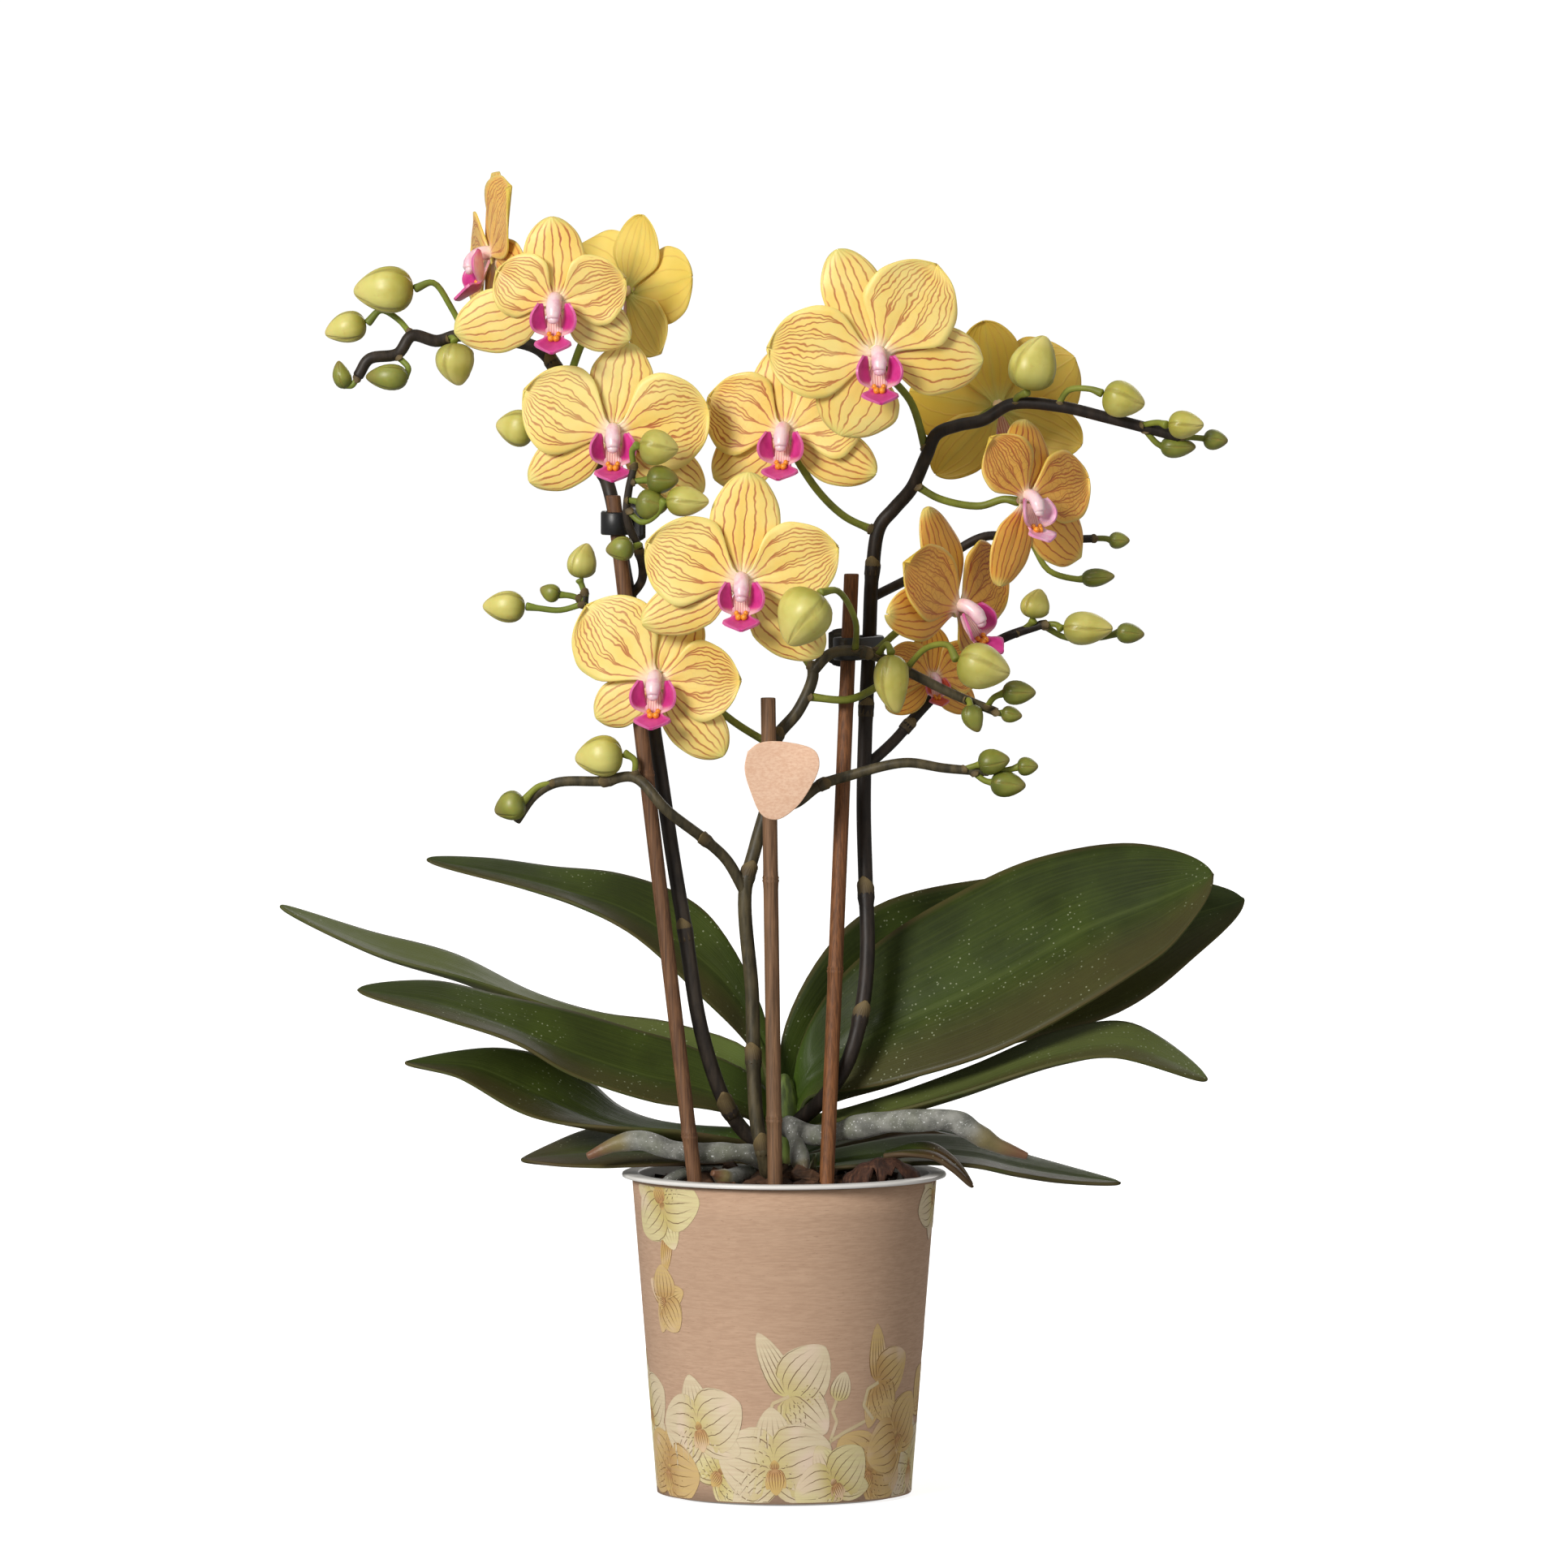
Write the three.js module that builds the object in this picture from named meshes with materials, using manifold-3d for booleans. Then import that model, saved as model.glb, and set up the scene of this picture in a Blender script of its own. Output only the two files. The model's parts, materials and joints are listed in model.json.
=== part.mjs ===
// A potted moth orchid: a nursery pot in a card sleeve, filled with bark, and a plant with three flower
// spikes tied to sticks. Units are millimetres, +Z is up, and the origin is the middle of the underside of
// the pot. The side that the flowers face is -Y.
import * as THREE from 'three';
import { mergeVertices } from 'three/addons/utils/BufferGeometryUtils.js';
import Module from 'manifold-3d';

const wasm = await Module();
wasm.setup();

// Driving dimensions.
const POT_HEIGHT = 91.5;
const POT_BASE_RADIUS = 35;
const POT_MOUTH_RADIUS = 42.3;
const POT_WALL = 1.2;
const RIM_RADIUS = 45.9;
const RIM_THICKNESS = 1.2;
const SLEEVE_WALL = 0.5;
const BARK_TOP = 86;
const GAP = 0.35;
const STICK_RADIUS = 2.1;
const STEM_RADIUS = 2.2;
const BRANCH_RADIUS = 1.6;
const STALK_RADIUS = 1.1;
const LEAF_THICKNESS = 2.2;
const TEPAL_THICKNESS = 1.1;
const COLUMN_RADIUS = 2.4;
const COLUMN_LENGTH = 10;
const COLUMN_BACK = 3;
const SPUR_RADIUS = 2;
const ROOT_RADIUS = 2.6;
const ROOT_RIGHT_RADIUS = 2.9;
const ROOT_STUB_RADIUS = 2.3;
const BUD_STALK_RADIUS = 0.9;
const DRAIN_RADIUS = 3;
const DRAIN_CIRCLE = 20;
const CLIP_HEIGHT = 6.4;
const TAG_THICKNESS = 0.8;

const point = ([x, y, z]) => new THREE.Vector3(x, y, z);

// ---- solids ---------------------------------------------------------------------------------------------

function solidOf(geometry) {
  const bare = geometry.clone();
  bare.deleteAttribute('normal');
  bare.deleteAttribute('uv');
  const merged = mergeVertices(bare, 1e-4);
  const index = merged.index.array;
  const corner = [new THREE.Vector3(), new THREE.Vector3(), new THREE.Vector3()];
  let triangles = [];
  let volume = 0;
  for (let i = 0; i < index.length; i += 3) {
    const [a, b, c] = [index[i], index[i + 1], index[i + 2]];
    if (a !== b && b !== c && c !== a) triangles.push([a, b, c]);
    [a, b, c].forEach((k, n) => corner[n].fromBufferAttribute(merged.attributes.position, k));
    volume += corner[0].dot(corner[1].cross(corner[2]));
  }
  // A shape that was mapped to its mirror image has its faces turned outwards again.
  if (volume < 0) triangles = triangles.map(([a, b, c]) => [a, c, b]);
  return new wasm.Manifold(new wasm.Mesh({
    numProp: 3,
    vertProperties: new Float32Array(merged.attributes.position.array),
    triVerts: new Uint32Array(triangles.flat()),
  }));
}

function geometryOf(solid) {
  const mesh = solid.getMesh();
  const geometry = new THREE.BufferGeometry();
  geometry.setAttribute('position', new THREE.BufferAttribute(mesh.vertProperties, 3));
  geometry.setIndex(new THREE.BufferAttribute(mesh.triVerts, 1));
  geometry.computeVertexNormals();
  return geometry;
}

const joined = (solids) => solids.reduce((whole, next) => whole.add(next));
const carved = (solid, cutters) => cutters.reduce((rest, cutter) => rest.subtract(cutter), solid);

// A slab whose grid of points is put in place by a function of the distance along it (0 to 1), the
// distance across it (-1 to 1) and the side of it (-1 below, 1 above).
function bentSlab(stepsAlong, stepsAcross, place) {
  const slab = new THREE.BoxGeometry(1, 2, 2, stepsAlong, stepsAcross, 1);
  slab.translate(0.5, 0, 0);
  const grid = slab.attributes.position;
  for (let i = 0; i < grid.count; i += 1) {
    const spot = place(grid.getX(i), grid.getY(i), grid.getZ(i));
    grid.setXYZ(i, spot.x, spot.y, spot.z);
  }
  return solidOf(slab);
}

function curveThrough(points) {
  return new THREE.CatmullRomCurve3(points.map(point), false, 'centripetal');
}

function tube(points, radius, steps, sides = 8) {
  const ring = new THREE.Shape();
  for (let i = 0; i < sides; i += 1) {
    const turn = (i / sides) * 2 * Math.PI;
    const spot = [radius * Math.cos(turn), radius * Math.sin(turn)];
    if (i === 0) ring.moveTo(...spot);
    else ring.lineTo(...spot);
  }
  ring.closePath();
  return solidOf(new THREE.ExtrudeGeometry(ring, {
    steps,
    extrudePath: curveThrough(points),
    bevelEnabled: false,
  }));
}

function turned(profile, segments) {
  return solidOf(new THREE.LatheGeometry(profile.map(([r, z]) => new THREE.Vector2(r, z)), segments)
    .rotateX(Math.PI / 2));
}

// ---- pot, sleeve and bark -------------------------------------------------------------------------------

const potRadius = (z) => POT_BASE_RADIUS + (POT_MOUTH_RADIUS - POT_BASE_RADIUS) * (z / POT_HEIGHT);

function potSolid() {
  const lip = POT_HEIGHT - RIM_THICKNESS;
  const shell = turned([
    [0, 0], [POT_BASE_RADIUS - 2, 0], [potRadius(2), 2], [potRadius(lip), lip],
    [RIM_RADIUS, lip], [RIM_RADIUS, POT_HEIGHT], [potRadius(lip) - POT_WALL, POT_HEIGHT],
    [potRadius(3) - POT_WALL, 3], [POT_BASE_RADIUS - 4, POT_WALL], [0, POT_WALL],
  ], 36);
  const drains = [];
  for (let i = 0; i < 5; i += 1) {
    const turn = (i / 5) * 2 * Math.PI;
    const drain = new THREE.CylinderGeometry(DRAIN_RADIUS, DRAIN_RADIUS, 6, 8).rotateX(Math.PI / 2);
    drain.translate(DRAIN_CIRCLE * Math.cos(turn), DRAIN_CIRCLE * Math.sin(turn), 0);
    drains.push(solidOf(drain));
  }
  return carved(shell, drains);
}

function sleeveSolid() {
  const low = 0.8;
  const high = POT_HEIGHT - RIM_THICKNESS - GAP;
  const inside = (z) => potRadius(Math.max(z, 2)) + GAP;
  return turned([
    [inside(low), low], [inside(low) + SLEEVE_WALL, low], [inside(high) + SLEEVE_WALL, high],
    [inside(high), high], [inside(low), low],
  ], 36);
}

function barkSolid(cutters) {
  const inside = (z) => potRadius(z) - POT_WALL - GAP;
  const heap = turned([
    [0, 2], [inside(4) - 3, 2], [inside(6), 6], [inside(BARK_TOP - 3), BARK_TOP - 3],
    [30, BARK_TOP + 0.5], [18, BARK_TOP], [8, BARK_TOP + 1.5], [0, BARK_TOP + 1],
  ], 24);
  return carved(heap, cutters);
}

// A strip of dry bark that has curled up on the heap.
function driedBarkSolid() {
  const middle = curveThrough([[18, -15, 90], [24, -18.5, 94], [30, -18, 94], [35, -14, 92.3]]);
  return bentSlab(4, 4, (along, across, side) => {
    const spot = middle.getPoint(along);
    const curl = across * (1.1 - 0.3 * along);
    const reach = 3.6 + side * 0.5;
    return spot.add(new THREE.Vector3(0, -reach * Math.sin(curl), reach * Math.cos(curl) - 3.2));
  });
}

// ---- crown, roots and leaves ----------------------------------------------------------------------------

function crownSolid(grow = 0) {
  return turned([
    [0, 80 - grow], [6 + grow, 80 - grow], [7.5 + grow, 92], [7 + grow, 106], [5.5 + grow, 118],
    [3 + grow, 126 + grow], [0, 127 + grow],
  ], 14);
}

const ROOT_LEFT = [[-4.5, -8, 94.5], [-9, -14, 97.5], [-14, -17.5, 98.5], [-23, -20, 98.5],
  [-32, -20, 99.5], [-40, -20, 102], [-47, -19, 101], [-55, -18, 97.5]];
const ROOT_RIGHT = [[1, -8, 105], [9, -14, 103], [19, -15, 105], [28, -19, 107], [38, -24, 108],
  [48, -25, 108], [54, -25, 104.5], [60, -24, 101], [68, -23, 98]];
const ROOT_SPUR = [[3, -10, 104], [4, -15, 99], [5, -17, 93.5]];
const ROOT_STUB = [[-7, -3, 92], [-12, -11, 91.5], [-16, -18, 91], [-20, -22.5, 93]];

function rootRightSolid() {
  return joined([tube(ROOT_RIGHT, ROOT_RIGHT_RADIUS, 14), tube(ROOT_SPUR, SPUR_RADIUS, 4, 6)]);
}

// Each leaf is given by its two edges, far and near, from the crown outwards, and by its tip.
const LEAVES = {
  leaf_left_1: {
    far: [[-5, 5, 133], [-18, 12, 159], [-28, 16, 168], [-47, 20, 175], [-66, 22, 177], [-84, 21, 179]],
    near: [[-5, -2, 119], [-11, 0, 129], [-24, 0, 142], [-42, -1, 158], [-57, 1, 166], [-72, 6, 171]],
    tip: [-101, 14, 179],
    keel: -2,
  },
  leaf_left_2: {
    far: [[-7, 15, 122], [-31, 26, 131], [-52, 32, 134], [-71, 35, 140], [-94, 36, 151], [-118, 34, 157]],
    near: [[-7, 7, 115], [-28, 10, 127], [-46, 12, 131], [-66, 12, 137], [-90, 13, 145], [-115, 16, 152]],
    tip: [-143, 24, 165],
    keel: -4,
  },
  leaf_left_3: {
    far: [[-6, 4, 116], [-28, 4, 127], [-42, 4, 131], [-61, 3, 137], [-81, 2, 142], [-99, 0, 146]],
    near: [[-7, -3, 105], [-20, -8, 110], [-37, -14, 113], [-61, -18, 121], [-75, -20, 129],
      [-96, -20, 136]],
    tip: [-120, -12, 144],
    keel: -3,
  },
  leaf_left_4: {
    far: [[-6, 8, 103], [-35, 15, 105], [-47, 17, 109], [-56, 18, 116], [-66, 16, 122], [-83, 12, 126]],
    near: [[-7, -1, 99.5], [-28, -7, 103], [-52, -9, 105], [-66, -9, 107], [-76, -8, 110], [-92, -3, 118]],
    tip: [-107, 5, 122],
    keel: -3,
  },
  leaf_left_5: {
    far: [[-6, 11, 94], [-15, 16, 99], [-31, 20, 101], [-43, 20, 102], [-54, 18, 102], [-65, 13, 99]],
    near: [[-7, 2, 93], [-15, -4, 94], [-28, -9, 94.5], [-43, -12, 94.5], [-54, -11, 94], [-66, -8, 94]],
    tip: [-74, -2, 95],
    keel: -2,
  },
  leaf_right_1: {
    far: [[4, 3, 125], [12, 6, 141], [26, 8, 155], [48, 12, 169], [72, 14, 180], [101, 12, 184]],
    near: [[6, -4, 112], [17, -7, 115], [30, -12, 118], [62, -18, 128], [96, -19, 147], [110, -14, 157]],
    tip: [121, -3, 176],
    keel: -5,
  },
  leaf_right_2: {
    far: [[-1, 8, 113], [0, 13, 131], [12, 20, 153], [27, 28, 165], [57, 38, 172], [98, 44, 174]],
    near: [[5, 7, 106], [14, 11, 110], [31, 15, 115], [56, 19, 124], [96, 25, 135], [115, 30, 148]],
    tip: [131, 38, 166],
    keel: -5,
  },
  leaf_right_3: {
    far: [[6, 2, 106], [18, 2, 109], [33, 0, 114], [53, -2, 122], [77, -3, 132], [98, -5, 134]],
    near: [[7, -4, 104], [17, -8, 108], [30, -15, 110], [48, -24, 115], [77, -27, 124], [93, -26, 126]],
    tip: [119, -16, 119],
    keel: -3,
  },
  leaf_right_4: {
    far: [[6, 7, 96], [26, 14, 99], [40, 18, 100], [54, 18, 99], [66, 16, 96], [78, 13, 93]],
    near: [[7, -3, 92], [26, -7, 94], [42, -8, 95], [54, -8, 94], [66, -6, 91], [80, -3, 88.5]],
    tip: [95, 4, 88],
    keel: -2,
  },
  leaf_right_5: {
    far: [[29, -14, 99], [36, -13, 100.5], [43, -13, 100], [49, -14, 96]],
    near: [[28, -19, 97.5], [35, -21, 98.5], [42, -21, 97.5], [47, -21, 94]],
    tip: [53, -18, 89],
    keel: -1,
  },
  leaf_right_6: {
    far: [[3, 15, 97], [18, 30, 103], [32, 38, 104], [42, 40, 102]],
    near: [[7, 8, 95.5], [24, 20, 99.5], [37, 25, 101], [45, 29, 99.5]],
    tip: [52, 36, 98],
    keel: -2,
  },
};

function leafSolid({ far, near, tip, keel }) {
  const farEdge = curveThrough([...far, tip]);
  const nearEdge = curveThrough([...near, tip]);
  const steps = far.length > 5 ? 9 : 6;
  const blade = (along, across) => {
    const reach = 0.985 * along;
    const spot = farEdge.getPoint(reach).lerp(nearEdge.getPoint(reach), 0.5 + 0.5 * across);
    spot.z += keel * (1 - across * across) * (1 - along ** 4);
    return spot;
  };
  return bentSlab(steps, 2, (along, across, side) => {
    const spot = blade(along, across);
    const ahead = blade(Math.min(along + 0.02, 1), across).sub(blade(Math.max(along - 0.02, 0), across));
    const over = blade(along, -1).sub(blade(along, 1));
    const up = ahead.cross(over).normalize();
    if (up.z < 0) up.negate();
    return spot.addScaledVector(up, side * (LEAF_THICKNESS / 2));
  });
}

// ---- sticks, clips and tag ------------------------------------------------------------------------------

const STICKS = {
  stick_left: [[-16.2, -26.8, 16], [-48, -24, 284]],
  stick_middle: [[-1.5, -28, 16], [-4.5, -21, 227]],
  stick_right: [[8.9, -30.2, 16], [19, -3, 261]],
};

const stickSolid = (ends, grow = 0) => tube(ends, STICK_RADIUS + grow, 1, 10);

// A clip is a flat ring around a stick and a stem, with two finger tabs that press it open. The tabs are on
// its left, seen from the stick towards the stem, or on its right where tabSide is -1.
function clipSolid(stick, stem, tabSide = 1) {
  const middle = new THREE.Vector2((stick[0] + stem[0]) / 2, (stick[1] + stem[1]) / 2);
  const along = new THREE.Vector2(stem[0] - stick[0], stem[1] - stick[1]);
  const reach = along.length() / 2;
  const outline = new THREE.Shape();
  const inside = STICK_RADIUS + 0.9;
  const outside = inside + 1.3;
  outline.absarc(reach, 0, outside, -Math.PI / 2, Math.PI / 2);
  outline.absarc(-reach, 0, outside, Math.PI / 2, Math.PI * 1.5);
  outline.closePath();
  const hole = new THREE.Path();
  hole.absarc(reach, 0, inside, -Math.PI / 2, Math.PI / 2);
  hole.absarc(-reach, 0, inside, Math.PI / 2, Math.PI * 1.5);
  hole.closePath();
  outline.holes.push(hole);
  const place = new THREE.Matrix4().makeRotationZ(along.angle()).setPosition(middle.x, middle.y, stick[2]);
  const ring = new THREE.ExtrudeGeometry(outline, {
    depth: CLIP_HEIGHT,
    bevelEnabled: false,
    curveSegments: 5,
  });
  const solids = [solidOf(ring.translate(0, 0, -CLIP_HEIGHT / 2).applyMatrix4(place))];
  for (const side of [-1, 1]) {
    const tab = new THREE.BoxGeometry(3, 4.5, CLIP_HEIGHT * 1.7);
    tab.translate(side * 1.9, tabSide * (outside + 1.9), 0);
    solids.push(solidOf(tab.applyMatrix4(place)));
  }
  return joined(solids);
}

function tagSolid() {
  const outline = new THREE.Shape();
  outline.moveTo(-9.5, 9.5);
  outline.bezierCurveTo(-4, 11.5, 6, 11.5, 10, 8);
  outline.bezierCurveTo(12, 5, 10.5, 1, 7, -4);
  outline.bezierCurveTo(4, -9, 0, -11.5, -4, -10.5);
  outline.bezierCurveTo(-9, -9, -12.5, 6, -9.5, 9.5);
  const card = new THREE.ExtrudeGeometry(outline, {
    depth: TAG_THICKNESS,
    bevelEnabled: false,
    curveSegments: 5,
  });
  return solidOf(card.rotateX(Math.PI / 2).translate(-0.5, -29.5, 204));
}

// ---- flowers and buds -----------------------------------------------------------------------------------

// The five tepals of a flower: upper sepal, left and right petal, left and right lower sepal. Each is
// [angle in degrees from the flower's own right, length, width].
const TEPALS = [[90, 26, 19], [157, 27, 26], [23, 27, 26], [-145, 27, 17], [-35, 27, 17]];

// at is the middle of the flower; facing and tilt say which way it looks, in degrees from -Y towards +X
// and from level downwards; roll turns it in its own plane. stalk lists points from the stem to the flower.
const FLOWERS = {
  flower_1: { spike: 'spike_left', at: [-82, 2, 350], facing: -75, roll: 25,
    stalk: [[-80, 4, 326], [-72, 6, 337], [-74, 4, 347]] },
  flower_2: { spike: 'spike_left', at: [-64, -27, 338], facing: -5, tilt: 5,
    tepals: [[92, 24, 17], [150, 19, 19], [20, 21, 20], [-163, 30, 18], [-27, 23, 15]],
    stalk: [[-66, 3, 323], [-64, -8, 332], [-64, -17, 337]] },
  flower_3: { spike: 'spike_left', at: [-44, 2, 340], facing: 142, tilt: 10, roll: 12, size: 0.86,
    stalk: [[-61, 0, 315], [-56, -6, 328], [-50, -7, 336]] },
  flower_4: { spike: 'spike_left', at: [-48, -22, 301],
    tepals: [[82, 26, 18], [155, 28, 25], [14, 28, 27], [-151, 27, 15], [-34, 30, 16]],
    stalk: [[-57, -4, 306], [-52, -8, 303], [-49, -13, 301]] },
  flower_5: { spike: 'spike_right', at: [0, -12, 301], facing: -8,
    tepals: [[92, 24, 18], [155, 24, 24], [22, 24, 24], [-148, 24, 17], [-24, 28, 16]],
    stalk: [[25, 5, 273], [17, 3, 277], [9, 0, 285], [1, -2, 298]] },
  flower_6: { spike: 'spike_right', at: [26, -31, 323], facing: 5,
    tepals: [[110, 32, 18], [174, 31, 26], [57, 31, 27], [-113, 24, 24], [-2, 30, 20]],
    stalk: [[40, -3, 296], [36, -7, 309], [30, -17, 317], [27, -24, 322]] },
  flower_7: { spike: 'spike_right', at: [61, 21, 307], facing: 172, roll: -12, size: 0.96,
    stalk: [[54, -6, 304], [57, 3, 306], [60, 12, 307]] },
  flower_8: { spike: 'spike_right', at: [68, -6, 282], facing: 36, size: 0.9,
    tepals: [[84, 25, 18], [124, 24, 20], [16, 26, 23], [-108, 28, 15], [-38, 30, 20]],
    stalk: [[37, 0, 286], [44, 0, 282], [55, 0, 280], [62, -2, 282]] },
  flower_9: { spike: 'spike_middle', at: [-12, -40, 260],
    tepals: [[87, 31, 20], [156, 29, 25], [20, 29, 23], [-157, 30, 15], [-42, 30, 18]],
    stalk: [[8, -14, 235], [0, -14, 246], [-9, -23, 257], [-12, -31, 260]] },
  flower_10: { spike: 'spike_middle', at: [-36, -30, 232], facing: -6,
    tepals: [[66, 22, 17], [133, 29, 26], [2, 24, 22], [-150, 20, 14], [-48, 28, 16]],
    stalk: [[-3, -15, 213], [-13, -14, 219], [-26, -18, 229], [-33, -24, 232]] },
  flower_11: { spike: 'spike_middle', at: [49, -8, 251], facing: 52, roll: 20,
    tepals: [[90, 31, 17], [128, 28, 22], [14, 25, 24], [160, 29, 16], [-60, 16, 14]],
    stalk: [[25, -16, 239], [32, -8, 245], [40, -1, 250]] },
  flower_12: { spike: 'spike_middle', at: [42, 3, 231], facing: 20, size: 0.58,
    stalk: [[6, -14, 227], [18, -13, 226], [31, 2, 231], [39, 7, 231]] },
};

// at is the middle of the bud, tip is the way its tip points, and size is [length, width].
const BUDS = {
  bud_1: { spike: 'spike_left', at: [-113, 0, 341], tip: [-1, 0, -0.05], size: [17, 12.5],
    stalk: [[-90, 4, 328], [-94, 3, 336], [-99, 1, 343]] },
  bud_2: { spike: 'spike_left', at: [-124, 8, 330], tip: [-1, 0, -0.25], size: [12, 8.5],
    stalk: [[-105, 2, 328], [-109, 6, 332.5], [-114, 8, 335]] },
  bud_3: { spike: 'spike_left', at: [-125, 0, 317], tip: [-0.4, 0, 1], size: [8, 5], small: true,
    stalk: [[-120, 0, 317], [-122, 0, 314]] },
  bud_4: { spike: 'spike_left', at: [-112, -3, 316.5], tip: [-1, 0, 0], size: [12, 7], small: true,
    stalk: [[-109.5, 0.8, 322.6], [-106, -1, 319]] },
  bud_5: { spike: 'spike_left', at: [-93, 0, 320], tip: [0, 0, -1], size: [12, 10.5],
    stalk: [[-95, 3, 327], [-93.5, 1, 327.5]] },
  bud_6: { spike: 'spike_left', at: [-76, 5, 302], tip: [-1, 0, 0.1], size: [11, 10],
    stalk: [[-58, -3, 311], [-62, 2, 307], [-67, 4, 303]] },
  bud_7: { spike: 'spike_left', at: [-35, -38, 298], tip: [1, 0, -0.1], size: [11, 9.5],
    stalk: [[-42, -34, 292], [-42.5, -36, 297]] },
  bud_8: { spike: 'spike_left', at: [-34, -36, 289], tip: [1, 0, 0], size: [9, 7.5], small: true,
    stalk: [[-43, -33, 288], [-41, -34, 288.5]] },
  bud_9: { spike: 'spike_left', at: [-37, -36, 282], tip: [1, 0, -0.2], size: [9, 8], small: true,
    stalk: [[-43.9, -32.4, 283], [-42.5, -34.5, 283]] },
  bud_10: { spike: 'spike_left', at: [-27, -39, 283], tip: [1, 0, 0], size: [12, 8],
    stalk: [[-44, -32, 280.5], [-40, -34, 277], [-36, -37, 279]] },
  bud_11: { spike: 'spike_left', at: [-46, -34, 269.5], tip: [-1, 0, -0.1], size: [8, 6.5], small: true,
    stalk: [[-41, -29, 270], [-40.5, -32, 270.5]] },
  bud_12: { spike: 'spike_left', at: [-57, -8, 265], tip: [0.1, 0, 1], size: [10, 8],
    stalk: [[-56, -8, 255], [-57, -8, 258]] },
  bud_13: { spike: 'spike_left', at: [-66, -8, 256], tip: [-1, 0, 0.3], size: [6, 5], small: true,
    stalk: [[-57, -8, 254], [-60, -8, 255]] },
  bud_14: { spike: 'spike_left', at: [-79, -8, 252], tip: [-1, 0, 0], size: [12, 8.5],
    stalk: [[-56, -8, 253], [-63, -8, 251], [-69, -8, 251.5]] },
  bud_15: { spike: 'spike_middle', at: [5, -51, 251], tip: [-0.6, -0.3, -0.8], size: [16.5, 15],
    stalk: [[20, -16, 240], [20, -28, 249], [15, -41, 258]] },
  bud_16: { spike: 'spike_middle', at: [-52, -30, 211], tip: [-1, 0, -0.1], size: [13.5, 11],
    stalk: [[-42, -29, 205.5], [-42, -30, 210]] },
  bud_17: { spike: 'spike_middle', at: [-77, -31, 197], tip: [-1, 0, -0.3], size: [9, 8], small: true,
    stalk: [[-64, -29, 203.5], [-69, -30, 202.5]] },
  bud_18: { spike: 'spike_middle', at: [30, -23.5, 231], tip: [0, 0, -1], size: [16.5, 9.5],
    stalk: [[26, -16, 238.5], [29, -21, 242]] },
  bud_19: { spike: 'spike_middle', at: [56, -29, 236], tip: [1, 0, -0.3], size: [15, 12.5],
    stalk: [[34, -16, 234.5], [40, -21, 241], [46, -26, 242]] },
  bud_20: { spike: 'spike_middle', at: [66, -22, 228.5], tip: [1, 0, 0], size: [9.5, 6.5], small: true,
    stalk: [[57, -17, 224], [59, -20, 227]] },
  bud_21: { spike: 'spike_middle', at: [53, -20, 221], tip: [0.2, 0, -1], size: [8, 6], small: true,
    stalk: [[51, -16, 226], [52, -18, 226]] },
  bud_22: { spike: 'spike_middle', at: [64, -17, 222], tip: [1, 0, -0.2], size: [6, 4.5], small: true,
    stalk: [[59, -16, 223], [60, -17, 222.5]] },
  bud_23: { spike: 'spike_middle', at: [59, -20, 209], tip: [1, 0, 0.2], size: [9, 7], small: true,
    stalk: [[50, -18, 206.5], [53, -19, 207.5]] },
  bud_24: { spike: 'spike_middle', at: [63, -19, 202.5], tip: [1, 0, -0.1], size: [10, 7], small: true,
    stalk: [[53, -18, 206], [56.5, -19, 203.5]] },
  bud_25: { spike: 'spike_middle', at: [68.5, -18, 207.5], tip: [1, 0, 0], size: [6, 5], small: true,
    stalk: [[56, -18, 206], [63, -18, 206.5]] },
  bud_26: { spike: 'spike_right', at: [71, 10, 252], tip: [0.1, 0, 1], size: [8.5, 8],
    stalk: [[65, 12, 243], [69, 11, 245.5]] },
  bud_27: { spike: 'spike_right', at: [86, 9, 245], tip: [1, 0, 0], size: [14, 9],
    stalk: [[73, 11, 246], [77, 10, 246]] },
  bud_28: { spike: 'spike_right', at: [98, 10, 243.5], tip: [1, 0, -0.1], size: [8, 5.5],
    small: true, stalk: [[73, 11, 246], [80, 15, 242], [89, 15, 242], [93, 12, 243]] },
  bud_29: { spike: 'spike_right', at: [95, 18, 269.5], tip: [1, 0, 0], size: [6, 4.5], small: true,
    stalk: [[87, 18, 270], [91, 18, 270]] },
  bud_30: { spike: 'spike_right', at: [89, 18, 259], tip: [1, 0, 0.1], size: [9.5, 5], small: true,
    stalk: [[70, 19, 269.5], [75, 18, 261], [83, 18, 258.5]] },
  bud_31: { spike: 'spike_right', at: [70, -12, 321], tip: [0.2, 0, 1], size: [16, 13],
    stalk: [[65, -7, 309], [65.5, -9, 311]] },
  bud_32: { spike: 'spike_right', at: [95.5, -14, 310.5], tip: [1, 0, -0.3], size: [12, 10],
    stalk: [[77, -8, 308.5], [80, -10, 313], [86, -13, 313.5]] },
  bud_33: { spike: 'spike_right', at: [113, -14, 303.5], tip: [1, 0, 0], size: [10, 7.5],
    stalk: [[100, -8, 303], [105, -11.5, 304]] },
  bud_34: { spike: 'spike_right', at: [121.5, -8, 299], tip: [1, 0, -0.1], size: [7, 5.5], small: true,
    stalk: [[111, -8, 300], [117, -8, 299.5]] },
  bud_35: { spike: 'spike_right', at: [111, -6, 297], tip: [1, 0, 0], size: [10, 6], small: true,
    stalk: [[101, -8, 302.5], [105, -7, 298]] },
};

function flowerPlace({ at, facing = 0, tilt = 0, roll = 0, size = 1 }) {
  const turn = new THREE.Euler(Math.PI / 2 + (tilt * Math.PI) / 180, 0, (facing * Math.PI) / 180, 'ZXY');
  return new THREE.Matrix4().makeRotationFromEuler(turn)
    .multiply(new THREE.Matrix4().makeRotationZ((roll * Math.PI) / 180))
    .multiply(new THREE.Matrix4().makeScale(size, size, size))
    .setPosition(...at);
}

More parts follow.
